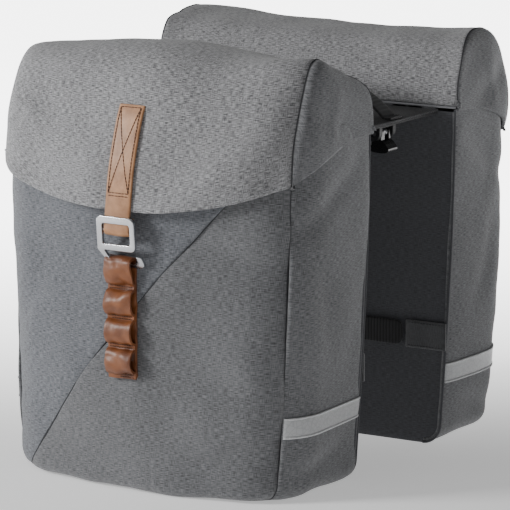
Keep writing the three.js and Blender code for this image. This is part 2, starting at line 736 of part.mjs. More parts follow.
/** The latch's pivot pin, or with a clearance the bore that it lies in. */
function latchPin(clearance = 0) {
  const reach = LATCH_HALF_WIDTH + 5 + (clearance > 0 ? 3 : 0);
  const radius = LATCH_PIN.radius + clearance;
  const pin = new THREE.CylinderGeometry(radius, radius, 2 * reach, 12);
  pin.translate(LATCH_PIN.x, 0, LATCH_PIN.z);
  return pin;
}

/** The sprung latch: a hub on the pin, a nose that reaches under the cross bar, and a thumb tab. */
function latchLever() {
  const { x, z } = LATCH_PIN;
  const shape = new THREE.Shape();
  shape.moveTo(x - 4.4, z - 1);
  shape.lineTo(x - 5.2, z - 11);
  shape.lineTo(x - 16, z - 10.8);
  shape.quadraticCurveTo(x - 17.5, z - 10.8, x - 17, z - 12);
  shape.lineTo(x - 9, z - 15.5);
  shape.quadraticCurveTo(x - 2, z - 18, x + 6, z - 17.5);
  shape.quadraticCurveTo(x + 12.5, z - 17, x + 11.5, z - 13.5);
  shape.quadraticCurveTo(x + 10, z - 10, x + 4.4, z - 6);
  shape.lineTo(x + 4.4, z);
  shape.absarc(x, z, 4.4, 0, Math.PI + 0.23);
  const blank = extrudeAlongY(shape, -LATCH_HALF_WIDTH, LATCH_HALF_WIDTH, 6);
  const slot = slab([x - 5.3, -2.2, z - 8], [x + 5.3, 5.4, z + 6]);
  return cut(blank, slot, latchPin(0.35));
}

/** The centre line of the torsion spring's wire, wound round the pin in the lever's slot. */
class Coil extends THREE.Curve {
  getPoint(t, target = new THREE.Vector3()) {
    const angle = 2 * Math.PI * 4.25 * t;
    const radius = 3.1;
    return target.set(
      LATCH_PIN.x + radius * Math.cos(angle),
      -1.5 + 6.2 * t,
      LATCH_PIN.z + radius * Math.sin(angle),
    );
  }
}

function latchSpring() {
  const wire = new THREE.Shape();
  wire.absarc(0, 0, 0.45, 0, 2 * Math.PI);
  return new THREE.ExtrudeGeometry(wire, {
    steps: 48,
    curveSegments: 3,
    bevelEnabled: false,
    extrudePath: new Coil(),
  });
}

/** A pan-head screw from the bridge's top down into the adapter's boss. */
function adapterScrew(x, y) {
  const under = BRIDGE_TOP + GAP;
  const shank = [[0, -12], [SCREW_RADIUS, -12], [SCREW_RADIUS, 0]];
  const profile = [...shank, [4.4, 0], [4.4, 1.2], [3.2, 2.2], [0, 2.4]];
  const geometry = new THREE.LatheGeometry(profile.map(([r, h]) => new THREE.Vector2(r, h)), 12);
  geometry.rotateX(Math.PI / 2);
  geometry.translate(x, y, under);
  return geometry;
}

// ---- Assembly ---------------------------------------------------------------------------------------

const assembly = new THREE.Group();

function add(name, geometry, material) {
  const mesh = new THREE.Mesh(geometry, material);
  mesh.name = name;
  assembly.add(mesh);
}

/** The mirror image across Y = 0, with its faces still pointing out. */
function mirrored(geometry) {
  const copy = geometry.index ? geometry.clone() : mergeVertices(geometry.clone().deleteAttribute('uv'));
  copy.scale(1, -1, 1);
  return flipped(copy);
}

const front = frontWall();
const bagPieces = [
  ['front_panel_upper', common(front, seamBlock(true)), materials.heather],
  ['front_panel_lower', common(front, seamBlock(false)), materials.greyCloth],
  ['side_gusset_front', sideGusset(-1), materials.gussetCloth],
  ['side_gusset_rear', sideGusset(1), materials.gussetCloth],
  ['base_panel', floorPlate(0, SKIN, GAP, GAP), materials.gussetCloth],
  ['rack_panel', rackPanel(), materials.rackCloth],
  ['back_board', backBoard(), materials.board],
  ['base_board', floorPlate(SKIN + GAP, 2.4, 6, 6), materials.board],
  ['lid_top', lidTop(), materials.lidCloth],
  ['lid_ear_front', lidEar(-1), materials.lidCloth],
  ['lid_ear_rear', lidEar(1), materials.lidCloth],
  ['lid_strap', lidStrap(), materials.leather],
  ['hook', hook(), materials.aluminium],
  ['loop_ladder', loopLadder(), materials.darkLeather],
  ['reflector_front', reflector(-1), materials.reflective],
  ['reflector_rear', reflector(1), materials.reflective],
  ['strap_anchor', rackWebbing(14, 39, 2.4, 22), materials.webbing],
  ['strap_tab', rackWebbing(40, 105, 2.4, 22, 6), materials.webbing],
  ['strap_sleeve', rackWebbing(109, 150, 2.8, 25), materials.webbing],
];
for (const [name, geometry, material] of bagPieces) {
  add(`right_${name}`, geometry, material);
  add(`left_${name}`, mirrored(geometry), material);
}

add('bridge_board', bridgeBoard(), materials.board);
add('carry_handle', carryHandle(), materials.webbing);
add('handle_patch_front', handlePatch(-1), materials.webbing);
add('handle_patch_rear', handlePatch(1), materials.webbing);
add('adapter_plate', adapterPlate(), materials.nylon);
add('latch_lever', latchLever(), materials.nylon);
add('latch_pin', latchPin(), materials.steel);
add('latch_spring', latchSpring(), materials.steel);
SCREW_PLACES.forEach(([x, y], i) => add(`adapter_screw_${i + 1}`, adapterScrew(x, y), materials.steel));

export default assembly;
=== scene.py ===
import json
import math

import bpy
import numpy as np
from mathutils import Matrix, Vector, noise

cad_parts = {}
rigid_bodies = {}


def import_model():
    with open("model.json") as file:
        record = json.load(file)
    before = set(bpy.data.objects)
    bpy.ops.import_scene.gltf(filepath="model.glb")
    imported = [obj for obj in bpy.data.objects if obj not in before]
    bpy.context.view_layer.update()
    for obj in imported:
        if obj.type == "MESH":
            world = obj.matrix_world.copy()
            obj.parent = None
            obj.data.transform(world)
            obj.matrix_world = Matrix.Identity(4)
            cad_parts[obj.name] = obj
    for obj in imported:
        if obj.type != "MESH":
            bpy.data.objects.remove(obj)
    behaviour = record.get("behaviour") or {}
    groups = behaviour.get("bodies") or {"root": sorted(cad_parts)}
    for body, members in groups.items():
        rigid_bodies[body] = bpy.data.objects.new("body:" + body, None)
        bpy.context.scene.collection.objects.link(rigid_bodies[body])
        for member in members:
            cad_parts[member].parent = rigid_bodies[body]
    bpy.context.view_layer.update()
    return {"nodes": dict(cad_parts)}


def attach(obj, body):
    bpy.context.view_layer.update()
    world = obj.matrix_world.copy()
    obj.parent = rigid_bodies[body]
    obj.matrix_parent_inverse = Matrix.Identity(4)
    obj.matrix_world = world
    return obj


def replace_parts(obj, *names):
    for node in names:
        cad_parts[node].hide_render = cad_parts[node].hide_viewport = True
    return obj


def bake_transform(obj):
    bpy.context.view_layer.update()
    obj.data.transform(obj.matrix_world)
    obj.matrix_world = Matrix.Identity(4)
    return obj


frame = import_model()

# ---- Camera ----
# A long lens looks at the rear corner of the left bag from a little above.


def new_object(name, data):
    """Puts a new object with its data into the scene."""
    thing = bpy.data.objects.new(name, data)
    bpy.context.scene.collection.objects.link(thing)
    return thing


camera = new_object("camera", bpy.data.cameras.new("camera"))
camera_aim = Vector((0, 0, 0.19))
azimuth, elevation, distance = math.radians(31.69), math.radians(10.51), 3.4
back = Vector((
    math.sin(azimuth) * math.cos(elevation),
    -math.cos(azimuth) * math.cos(elevation),
    math.sin(elevation),
))
camera.location = camera_aim + back * distance
camera.rotation_euler = back.to_track_quat("Z", "Y").to_euler()
camera.data.lens = 266.1
camera.data.sensor_width = 36
camera.data.shift_x = -0.0129
camera.data.shift_y = -0.0345
camera.data.clip_end = 60
bpy.context.scene.camera = camera

# ---- Studio ----
# A floor of white paper that glows behind the subject, in a dim white surround. One soft light stands in
# front on the left, with a weak one on the right and another above.


def linear(colour):
    """An sRGB hex colour as the linear colour that a shader takes."""
    channels = [int(colour[i:i + 2], 16) / 255 for i in (1, 3, 5)]
    return tuple(c / 12.92 if c <= 0.04045 else ((c + 0.055) / 1.055) ** 2.4 for c in channels) + (1,)


def add_node(tree, kind, settings=None, inputs=None):
    """Adds a node, sets its properties, and sets or links its inputs, which are given by name or place."""
    node = tree.nodes.new(kind)
    for name, value in (settings or {}).items():
        setattr(node, name, value)
    for name, value in (inputs or {}).items():
        if isinstance(value, bpy.types.NodeSocket):
            tree.links.new(value, node.inputs[name])
        else:
            node.inputs[name].default_value = value
    return node


def feed(shader, **sockets):
    """Links sockets of other nodes to a shader's inputs, which are named with underscores."""
    for name, socket in sockets.items():
        shader.id_data.links.new(socket, shader.inputs[name.replace("_", " ")])


def new_material(name, **values):
    """A material with its shader's own sockets set, as (material, node tree, shader)."""
    material = bpy.data.materials.new(name)
    material.use_nodes = True
    shader = material.node_tree.nodes["Principled BSDF"]
    for socket, value in values.items():
        shader.inputs[socket.replace("_", " ")].default_value = value
    return material, material.node_tree, shader


# White seamless paper, matt, with a faint pressed grain. The paper itself gives off light, a painted glow
# that is strongest behind the subject, and it darkens to plain white paper towards the front.
paper, paper_tree, paper_shader = new_material(
    "matt_white_seamless_paper", Base_Color=linear("#f6f6f6"), Roughness=0.95, Emission_Color=linear("#ffffff"),
)
floor_place = add_node(paper_tree, "ShaderNodeTexCoord").outputs["Object"]
behind = add_node(paper_tree, "ShaderNodeVectorMath", {"operation": "DOT_PRODUCT"}, {
    0: floor_place, 1: (-math.sin(azimuth), math.cos(azimuth), 0),
}).outputs["Value"]
# painted glow: the paper's own emission rises from 0.4 in front to 5.5 behind the subject
painted_glow = add_node(paper_tree, "ShaderNodeMapRange", {"interpolation_type": "SMOOTHSTEP"}, {
    "Value": behind, "From Min": -0.1, "From Max": 1.3, "To Min": 0.4, "To Max": 5.5,
})
grain = add_node(paper_tree, "ShaderNodeTexNoise", inputs={"Vector": floor_place, "Scale": 900.0})
pressed = add_node(paper_tree, "ShaderNodeBump", inputs={
    "Height": grain.outputs["Fac"], "Strength": 0.1, "Distance": 0.0002,
})
feed(paper_shader, Emission_Strength=painted_glow.outputs["Result"], Normal=pressed.outputs["Normal"])
floor_size, floor_drop = 60, 0.0005      # metres; the paper lies just below z = 0
bpy.ops.object.select_all(action="DESELECT")
bpy.ops.mesh.primitive_plane_add(size=floor_size, location=(0, 0, -floor_drop))
floor = bpy.context.object
floor.name = "studio_floor"
floor.data.materials.append(paper)

surround = bpy.data.worlds.new("white_surround")
surround.use_nodes = True
surround.node_tree.nodes["Background"].inputs["Color"].default_value = linear("#ffffff")
surround.node_tree.nodes["Background"].inputs["Strength"].default_value = 0.13
bpy.context.scene.world = surround

light_aim = Vector((0, 0, 0.2))
soft_lights = (
    # name, place, size in metres, watts
    ("front_left_softbox", (-1.35, -1.6, 1.0), 0.6, 37),
    ("front_right_softbox", (0.95, -1.1, 0.45), 0.5, 1.3),
    ("overhead_softbox", (-0.4, -0.9, 1.9), 1.0, 2.5),
)
for name, place, size, watts in soft_lights:
    light = bpy.data.lights.new(name, "AREA")
    light.energy = watts
    light.size = size
    lamp = new_object(name, light)
    lamp.location = place
    lamp.rotation_euler = (Vector(place) - light_aim).to_track_quat("Z", "Y").to_euler()

# ---- Walls of the bags ----
# Each bag is sewn from foam-backed polyester: a front in two tones with a diagonal seam, two side
# gussets, a floor and a dark panel on the rack side. The front bows out, and its cloth is uneven where
# seams draw it in. Lengths are in millimetres until a mesh is made.

mm = 0.001
bags = {"left": -1, "right": 1}      # the left bag is the right one's mirror image across Y = 0
ends = {"front": -1, "rear": 1}      # of each bag, towards the front wheel and towards the tail
rack_face, corner_front, front_bulge = 75, 194.5, 25.5
base_width, hem_width, hem_z, mouth_z = 286, 313, 311, 324
closing_start = 250                  # above this height the bag draws in towards its mouth
corner_radius, side_edge_radius, front_edge_radius = 46, 17, 9
edge_rows = 0.12                     # the share of a wall's rows of faces that lie round its lower edge
corner_push, corner_push_top = 7, 120
seam_draw, held_fade = 5, 22         # from a seam: how far its draw reaches, and how far a held edge calms relief
bag_middle = 130                     # a line inside the bag, which its faces point away from
wall_cloth = 3.2
wall_seed = {"left": 3, "right": 11}
wall_shift, hill_shift = 500, 700    # of a gusset's pattern and hills, one way or the other, so that they differ


def smoothstep(value, low, high):
    share = np.clip((value - low) / (high - low), 0, 1)
    return share * share * (3 - 2 * share)


def edge_inset(radius, height):
    """How far a rounded lower edge has drawn in at a height above the floor."""
    return radius - np.sqrt(np.maximum(radius ** 2 - np.maximum(radius - height, 0) ** 2, 0))


def bag_section(z):
    """The bag's outline at a height: half its width, its front at the corners, corner radius and bulge."""
    side, front = edge_inset(side_edge_radius, z), edge_inset(front_edge_radius, z)
    draw = smoothstep(z, closing_start, mouth_z)
    width = base_width + (hem_width - base_width) * np.sin(np.pi / 2 * np.minimum(z / hem_z, 1))
    return (
        width / 2 - side,
        corner_front - front - 5 * draw,
        corner_radius - (side + front) / 2,
        front_bulge * (0.7 + 0.3 * np.minimum(z / 120, 1) - 0.4 * draw),
    )


def bag_front(x, z):
    """The distance of the bag's front from the middle, at a place across and a height."""
    half, front, radius, bulge = bag_section(z)
    past = np.clip(np.abs(x) - (half - radius), 0, radius)
    return front - radius + np.sqrt(radius ** 2 - past ** 2) + bulge * np.cos(np.pi / 2 * x / half)


def wall_height(v):
    """Heights that lie closer together round the lower edge, for v from 0 at the floor to 1 at the mouth."""
    round_part = side_edge_radius * (1 - np.cos(np.pi / 2 * np.minimum(v / edge_rows, 1)))
    upright = side_edge_radius + (mouth_z - side_edge_radius) * (v - edge_rows) / (1 - edge_rows)
    return np.where(v < edge_rows, round_part, upright)


def settle(x, z):
    """The bag's load has pushed its lower front corner outwards."""
    return x - corner_push * (1 - smoothstep(z, 0, corner_push_top)) * smoothstep(-x, 60, 145)


def folds(s, t, lines):
    """Soft folds of the cloth, each from one place to another with a width and a height. They fade out at
    their ends and to both sides."""
    lift = 0
    for start, end, width, height in lines:
        run, rise = end[0] - start[0], end[1] - start[1]
        length = math.hypot(run, rise)
        along = ((s - start[0]) * run + (t - start[1]) * rise) / length ** 2
        across = ((s - start[0]) * rise - (t - start[1]) * run) / length
        lift = lift + height * np.sin(np.pi * np.clip(along, 0, 1)) * np.exp(-(across / width) ** 2)
    return lift


def unevenness(s, t, size, height, seed):
    """The slight hills and hollows of stuffed cloth."""
    places = np.column_stack([s / size, t / size, np.full(s.size, seed * 7.3)])
    return height * np.array([noise.noise(Vector(place)) for place in places])


def select_only(piece):
    bpy.ops.object.select_all(action="DESELECT")
    piece.select_set(True)
    bpy.context.view_layer.objects.active = piece


def add_thickness(piece, thickness, offset=-1):
    """Gives a surface its thickness, inwards from where it lies."""
    select_only(piece)
    solid = piece.modifiers.new("thickness", "SOLIDIFY")
    solid.thickness = thickness * mm
    solid.offset = offset
    solid.use_quality_normals = True
    bpy.ops.object.modifier_apply(modifier=solid.name)


def sewn_panel(name, side, cells, place, relief, edges, thickness=wall_cloth, held=()):
    """A cloth panel laid on a form. place(u, v) gives points (x, out, z) and the cloth's own (s, t) there;
    relief(s, t) lifts it. At each edge, in the order u low, u high, v low, v high, it is drawn in,
    and relief fades out towards the held edges, so that two panels meet along their seam."""
    bpy.ops.object.select_all(action="DESELECT")
    bpy.ops.mesh.primitive_grid_add(x_subdivisions=cells[0], y_subdivisions=cells[1], size=1)
    piece = bpy.context.object
    piece.name = name
    grid = np.empty(3 * len(piece.data.vertices))
    piece.data.vertices.foreach_get("co", grid)
    u, v = grid.reshape(-1, 3)[:, 0] + 0.5, grid.reshape(-1, 3)[:, 1] + 0.5
    order = np.lexsort((np.round(u, 5), np.round(v, 5)))
    shape = (cells[1] + 1, cells[0] + 1)
    (x, out, z), (s, t) = place(u[order], v[order])
    points = np.stack([settle(x, z), out, z], axis=-1).reshape(*shape, 3)
    across, up = np.gradient(points, axis=1), np.gradient(points, axis=0)
    normals = np.cross(across, up)
    normals /= np.maximum(np.linalg.norm(normals, axis=2, keepdims=True), 1e-9)
    turned = (normals[..., 0] * points[..., 0] + normals[..., 1] * (points[..., 1] - bag_middle)).sum() < 0
    if turned:
        normals = -normals
    lift = np.zeros(shape)
    if relief is not None:
        lift += relief(s, t).reshape(shape)
    step_u = np.linalg.norm(np.diff(points, axis=1), axis=2)
    step_v = np.linalg.norm(np.diff(points, axis=0), axis=2)
    from_left = np.concatenate([np.zeros((shape[0], 1)), np.cumsum(step_u, axis=1)], axis=1)
    from_low = np.concatenate([np.zeros((1, shape[1])), np.cumsum(step_v, axis=0)], axis=0)
    distances = (from_left, from_left[:, -1:] - from_left, from_low, from_low[-1:] - from_low)
    for number in held:
        lift *= smoothstep(distances[number], 0, held_fade)
    for depth, distance in zip(edges, distances):
        lift -= depth * np.exp(-(distance / seam_draw) ** 1.5)
    points += normals * lift[..., None]
    flat = np.empty((u.size, 3))
    flat[order] = points.reshape(-1, 3) * mm * [1, side, 1]
    piece.data.vertices.foreach_set("co", flat.ravel())
    cloth = np.empty((u.size, 2))
    cloth[order] = np.column_stack([s, t]) * mm
    corners = np.empty(len(piece.data.loops), int)
    piece.data.loops.foreach_get("vertex_index", corners)
    piece.data.uv_layers[0].data.foreach_set("uv", cloth[corners].ravel())
    if turned != (side < 0):
        piece.data.flip_normals()
    piece.data.update()
    if thickness:
        add_thickness(piece, thickness)
    bpy.ops.object.shade_smooth()
    return piece


def cloth_material(name, dark, light, roughness=0.92, sheen=0.25, melange=0.5):
    """Woven polyester of mixed light and dark yarns. The mixed yarns make streaks one yarn (0.4 mm) wide and
    5 mm long, along the warp and across it, and its tone is uneven over 70 mm."""
    material, tree, shader = new_material(name, Roughness=roughness, Sheen_Weight=sheen, Sheen_Roughness=0.6)
    cloth = add_node(tree, "ShaderNodeTexCoord").outputs["UV"]
    streaks = []
    for size in ((210, 2300, 1), (2300, 210, 1)):      # streaks in a metre, along and across
        place = add_node(tree, "ShaderNodeMapping", inputs={"Vector": cloth, "Scale": size})
        streaks.append(add_node(tree, "ShaderNodeTexNoise", {"noise_dimensions": "2D"}, {
            "Vector": place.outputs[0], "Scale": 1.0, "Detail": 0.0,
        }).outputs["Fac"])
    warp = add_node(tree, "ShaderNodeMath", {"operation": "MULTIPLY"}, {0: streaks[1], 1: 0.7}).outputs[0]
    woven = add_node(tree, "ShaderNodeMath", {"operation": "MULTIPLY_ADD"}, {
        0: streaks[0], 1: 1.3, 2: warp,
    }).outputs[0]
    tone = add_node(tree, "ShaderNodeMapRange", inputs={
        "Value": woven, "From Min": 1 - 0.5 * melange, "From Max": 1 + 0.5 * melange,
    }).outputs["Result"]
    broad = add_node(tree, "ShaderNodeTexNoise", {"noise_dimensions": "2D"}, {
        "Vector": cloth, "Scale": 14.0, "Detail": 3.0,
    }).outputs["Fac"]
    uneven = add_node(tree, "ShaderNodeMapRange", inputs={
        "Value": broad, "From Min": 0.2, "From Max": 0.8, "To Min": -0.12, "To Max": 0.12,
    }).outputs["Result"]
    share = add_node(tree, "ShaderNodeMath", {"operation": "ADD"}, {0: tone, 1: uneven}).outputs[0]
    mix = add_node(tree, "ShaderNodeMix", {"data_type": "RGBA"}, {
        "Factor": share, 6: linear(dark), 7: linear(light),
    })
    bump = add_node(tree, "ShaderNodeBump", inputs={"Height": woven, "Strength": 0.35, "Distance": 0.0004})
    feed(shader, Base_Color=mix.outputs[2], Normal=bump.outputs["Normal"])
    return material


lid_cloth = cloth_material("heather_polyester_lid", "#525254", "#adadaf", melange=0.72)
heather_cloth = cloth_material("heather_polyester_blue_grey", "#3e4045", "#7f8288", melange=0.85)
grey_cloth = cloth_material("heather_polyester_grey", "#404143", "#7c7d80", melange=0.85)
dark_cloth = cloth_material("woven_polyester_charcoal", "#333438", "#4d4e53", melange=0.8)


seam_curve = (-122, -84, 0, 168), (-6, 72, 156, 340)        # the diagonal seam's control places, x and height
seam_turn = {-1: math.radians(62), 1: math.radians(45)}      # how far round each corner the seams lie
lower_front_top = 0.965                                      # its share of the wall, up to about the hem


def seam_across(z):
    """Where the diagonal seam crosses the front at a height."""
    t = np.linspace(0, 1, 60)
    line = [(1 - t) ** 3 * a + 3 * (1 - t) ** 2 * t * b + 3 * (1 - t) * t ** 2 * c + t ** 3 * d
            for a, b, c, d in seam_curve]
    return np.interp(z, line[1], line[0])


def front_reach(z, end=1):
    """How far the front panel reaches from the middle to its seam with the gusset at one end."""
    half, _, radius, _ = bag_section(z)
    return half - radius * (1 - math.sin(seam_turn[end]))


def upper_front(u, v):
    z = wall_height(v)
    start = front_reach(z, -1)
    x = -start + u * (np.minimum(seam_across(z), front_reach(z)) + start)
    return (x, bag_front(x, z), z), (x, z)


def lower_front(u, v):
    z = wall_height(v * lower_front_top)
    reach = front_reach(z)
    low = np.minimum(np.maximum(seam_across(z), -front_reach(z, -1)), reach - 1)
    x = low + u * (reach - low)
    return (x, bag_front(x, z), z), (x, z)


front_folds = (                      # start, end, width and height, here and in the other lists of folds
    ((-150, 60), (-60, 105), 10, -3.0), ((-145, 110), (-85, 200), 13, -2.8), ((40, 15), (140, 62), 11, -3.2),
    ((85, 160), (148, 55), 15, 3.0), ((10, 250), (150, 195), 13, -2.8),
)
gusset_folds = (
    ((10, 290), (120, 225), 11, -3.4), ((20, 40), (110, 18), 9, -2.6), ((50, 110), (95, 250), 15, -2.6),
)


def front_relief(seed):
    """The relief of a front, which is flatter where the lid lies over it."""
    def relief(s, t):
        lift = unevenness(s, t, 70, 3.6, seed) + unevenness(s, t, 28, 1.1, seed + 1)
        return (lift + folds(s, t, front_folds)) * (1 - 0.7 * smoothstep(t, 235, 265))
    return relief


def gusset_wall(end):
    """The side wall at the front end (-1) or the rear end (1), from the rack panel round the corner."""
    def place(u, v):
        z = wall_height(v)
        half, front, radius, bulge = bag_section(z)
        flat = front - radius - rack_face - 1
        run = u * (flat + radius * (math.pi / 2 - seam_turn[end]))
        angle = np.maximum(run - flat, 0) / radius
        x = half - radius + radius * np.cos(angle)
        out = np.where(run < flat, rack_face + 1 + run, front - radius + radius * np.sin(angle))
        out = out + np.where(angle > 0, bulge * np.cos(np.pi / 2 * x / half), 0)
        return (end * x, out, z), (run + end * wall_shift, z)
    return place


def gusset_relief(end, seed):
    """The relief of a side wall, which the load bows out between the floor and the mouth."""
    def relief(s, t):
        s = s - end * wall_shift
        bow = 2.5 * np.sin(np.pi * np.clip(s / 150, 0, 1))
        lift = bow * smoothstep(t, 0, 60) * (1 - 0.5 * smoothstep(t, 230, 320))
        lift += unevenness(s + hill_shift * end, t, 60, 2.4, seed) + unevenness(s, t, 24, 0.7, seed + 1)
        return lift + folds(s, t, gusset_folds)
    return relief


def rack_wall(u, v):
    z = np.minimum(wall_height(v), hem_z - 1)
    half = bag_section(z)[0] - 0.5
    x = half * (2 * u - 1)
    return (x, np.full_like(x, rack_face + 0.6), z), (x, z)


def floor_wall(u, v):
    """The bag's floor, inside the walls' lower edges."""
    half = bag_section(np.zeros(1))[0]
    x = (half - 0.6) * (2 * u - 1)
    reach = bag_front(np.clip(x, -half + 1, half - 1), np.zeros_like(x)) - 0.6
    out = rack_face + 2 + v * (reach - rack_face - 2)
    return (x, out, np.full_like(x, 0.6 + wall_cloth)), (x, out)


for bag, side in bags.items():
    seed = wall_seed[bag]
    upper = sewn_panel(f"{bag}_upper_front", side, (74, 96), upper_front,
                       front_relief(seed), (1.2, 1.0, 1.4, 0))
    upper.data.materials.append(heather_cloth)
    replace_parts(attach(upper, "frame"), f"{bag}_front_panel_upper")
    lower = sewn_panel(f"{bag}_lower_front", side, (74, 96), lower_front,
                       front_relief(seed + 30), (1.0, 1.2, 1.4, 0))
    lower.data.materials.append(grey_cloth)
    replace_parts(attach(lower, "frame"), f"{bag}_front_panel_lower")
    for place_name, end in ends.items():
        gusset = sewn_panel(f"{bag}_{place_name}_gusset", side, (44, 96), gusset_wall(end),
                            gusset_relief(end, seed + 60 + end), (1.0, 1.2, 1.4, 0))
        gusset.data.materials.append(grey_cloth)
        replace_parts(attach(gusset, "frame"), f"{bag}_side_gusset_{place_name}")
    rack = sewn_panel(f"{bag}_rack_wall", side, (70, 76), rack_wall,
                      lambda s, t: unevenness(s, t, 80, 1.0, 5) - 0.4, (0.8, 0.8, 0.8, 0))
    rack.data.materials.append(dark_cloth)
    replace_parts(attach(rack, "frame"), f"{bag}_rack_panel")
    base = sewn_panel(f"{bag}_floor_cloth", side, (60, 30), floor_wall, None, (0, 0, 0, 0))
    base.data.materials.append(grey_cloth)
    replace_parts(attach(base, "frame"), f"{bag}_base_panel")

# ---- Lids ----
# A lid is one cloth panel from its hem on the rack side over the top to a curved skirt in front, with an
# ear sewn in at each end. Its edge is folded under and topstitched. It sits loosely on the bag's load.

lid_half, lid_front_corner, lid_radius = hem_width / 2 + 4, corner_front + 10, corner_radius + 4
lid_seam = {end: lid_half - lid_radius * (1 - math.sin(turn)) for end, turn in seam_turn.items()}
lid_crown, skirt_middle, skirt_rise = 377, 249, 27
skirt_curve = 2.2                    # how late the skirt's edge and the ears' rise or fall towards the corner
lid_cloth_thickness, lid_tuck = 2.6, 4.5       # how far the skirt's corners are drawn in
lid_form = np.array([                # share of the reach to the front, and height
    (0, 312), (0, 328), (0.04, 344), (0.14, 362), (0.3, 373), (0.48, lid_crown),
    (0.64, 373.5), (0.755, 362), (0.835, 342), (0.912, 311), (0.968, 281), (1, skirt_middle),
])
lid_seed = {"left": 21, "right": 37}
ear_shift = 700                      # of an ear's pattern, one way or the other, so that they differ

# The loads lift the two lids differently: the rise at places across a lid, then how far one end has sunk
# at shares of the reach, and which end that is.
lid_load = {
    "left": (
        ((-156, -128, -96, -65, -38, 40, 100, 150), (-7, -1, 4, 7, 8, 6, 3, 2)),
        ((0, 0.04, 0.14, 0.3, 0.48, 0.62, 0.7, 0.8), (0, 2, 9, 12, 6, -4, -6, 0)), 1,
    ),
    "right": (
        ((-156, -95, -42, 0, 63, 126, 150), (1, -4, -7, -8, -7, -5, 0)),
        ((0, 0.04, 0.14, 0.3, 0.48, 0.64, 0.8), (0, -8, -7, 0, 0, -2, 0)), -1,
    ),
}


def smooth_line(points, count=240):
    """A smooth line through some points, with its places evenly spaced."""
    padded = np.vstack([points[:1], points, points[-1:]])
    place = np.linspace(0, len(points) - 1, count)
    first = np.minimum(place.astype(int), len(points) - 2)
    t = (place - first)[:, None]
    a, b, c, d = (padded[first + i] for i in range(4))
    curved = (2 * a - 5 * b + 4 * c - d) * t ** 2 + (3 * b - a - 3 * c + d) * t ** 3
    return even(0.5 * (2 * b + (c - a) * t + curved), count)


def even(line, count):
    """A line with its places evenly spaced."""
    run = np.concatenate([[0], np.cumsum(np.linalg.norm(np.diff(line, axis=0), axis=1))])
    at = np.linspace(0, run[-1], count)
    return np.column_stack([np.interp(at, run, column) for column in line.T])


def lid_front(x):
    past = np.clip(np.abs(x) - (lid_half - lid_radius), 0, lid_radius)
    round_part = lid_radius - np.sqrt(lid_radius ** 2 - past ** 2)
    return lid_front_corner - round_part + front_bulge * np.cos(np.pi / 2 * x / lid_half)


lid_reach = float(lid_front(np.zeros(1))[0]) - rack_face
lid_line = smooth_line(lid_form * [lid_reach, 1]) / [lid_reach, 1]


def line_length(line):
    return np.linalg.norm(np.diff(line, axis=0), axis=1).sum()


lid_length = line_length(lid_line * [lid_reach, 1])


def lid_points(x, v, bag):
    """Points on a bag's lid at places across it and along its form."""
    at = np.linspace(0, 1, len(lid_line))
    share, height = np.interp(v, at, lid_line[:, 0]), np.interp(v, at, lid_line[:, 1])
    down = smoothstep(v, 0.5, 1) * (1 - (height - skirt_middle) / (lid_crown - skirt_middle))
    z = height + down * skirt_rise * (np.abs(x) / lid_seam[1]) ** skirt_curve
    rise, slump, slump_end = lid_load[bag]
    z = z + np.interp(x, rise[0], rise[1]) * smoothstep(z, 320, 365) * smoothstep(share, 0.12, 0.4)
    z = z - np.interp(share, slump[0], slump[1]) * smoothstep(slump_end * x, 70, 145)
    tuck = lid_tuck * smoothstep(v, 0.75, 1) * smoothstep(np.abs(x), 105, 146)
    return x, rack_face + share * (lid_front(x) - rack_face) - tuck, z


def seam_place(end, v):
    """How far from the middle the seam with an ear lies: further out on the rack side."""
    return lid_seam[end] + (lid_half - 2 - lid_seam[end]) * (1 - smoothstep(v, 0.12, 0.42))


def lid_top(bag):
    def place(u, v):
        start = -seam_place(-1, v)
        x = start + u * (seam_place(1, v) - start)
        return lid_points(x, v, bag), (x, v * lid_length)
    return place


lid_folds = (                        # the first is a ridge, and the cloth falls into a hollow behind it
    ((-20, 345), (150, 195), 22, 8.0), ((40, 250), (150, 330), 16, -2.4), ((-140, 190), (-60, 205), 12, -2.2),
    ((-150, 250), (-90, 330), 18, 3.0), ((-143, 230), (-112, 205), 5, -3.5),
)
ear_folds = ((90, 300), (185, 350), 12, -2.2), ((150, 290), (130, 365), 9, 1.6)


def lid_relief(seed):
    """The relief of a lid's cloth, which lies flat under its strap and at the hem on the rack side."""
    def relief(s, t):
        lift = unevenness(s, t, 85, 3.6, seed) + unevenness(s, t, 30, 1.1, seed + 1)
        lift += folds(s, t, lid_folds)
        beyond = ((s - 20) * 95 + (t - 330) * 100) / 138 - 12
        lift -= 6.5 * smoothstep(beyond, 0, 50) * smoothstep(t, 215, 260)
        strap = np.exp(-(s / 20) ** 4) * smoothstep(t / lid_length, 0.6, 0.7)
        hem = 0.7 * smoothstep(t, lid_length - 10, lid_length - 9)
        return lift * (1 - strap) * smoothstep(t, 0, 45) + hem
    return relief


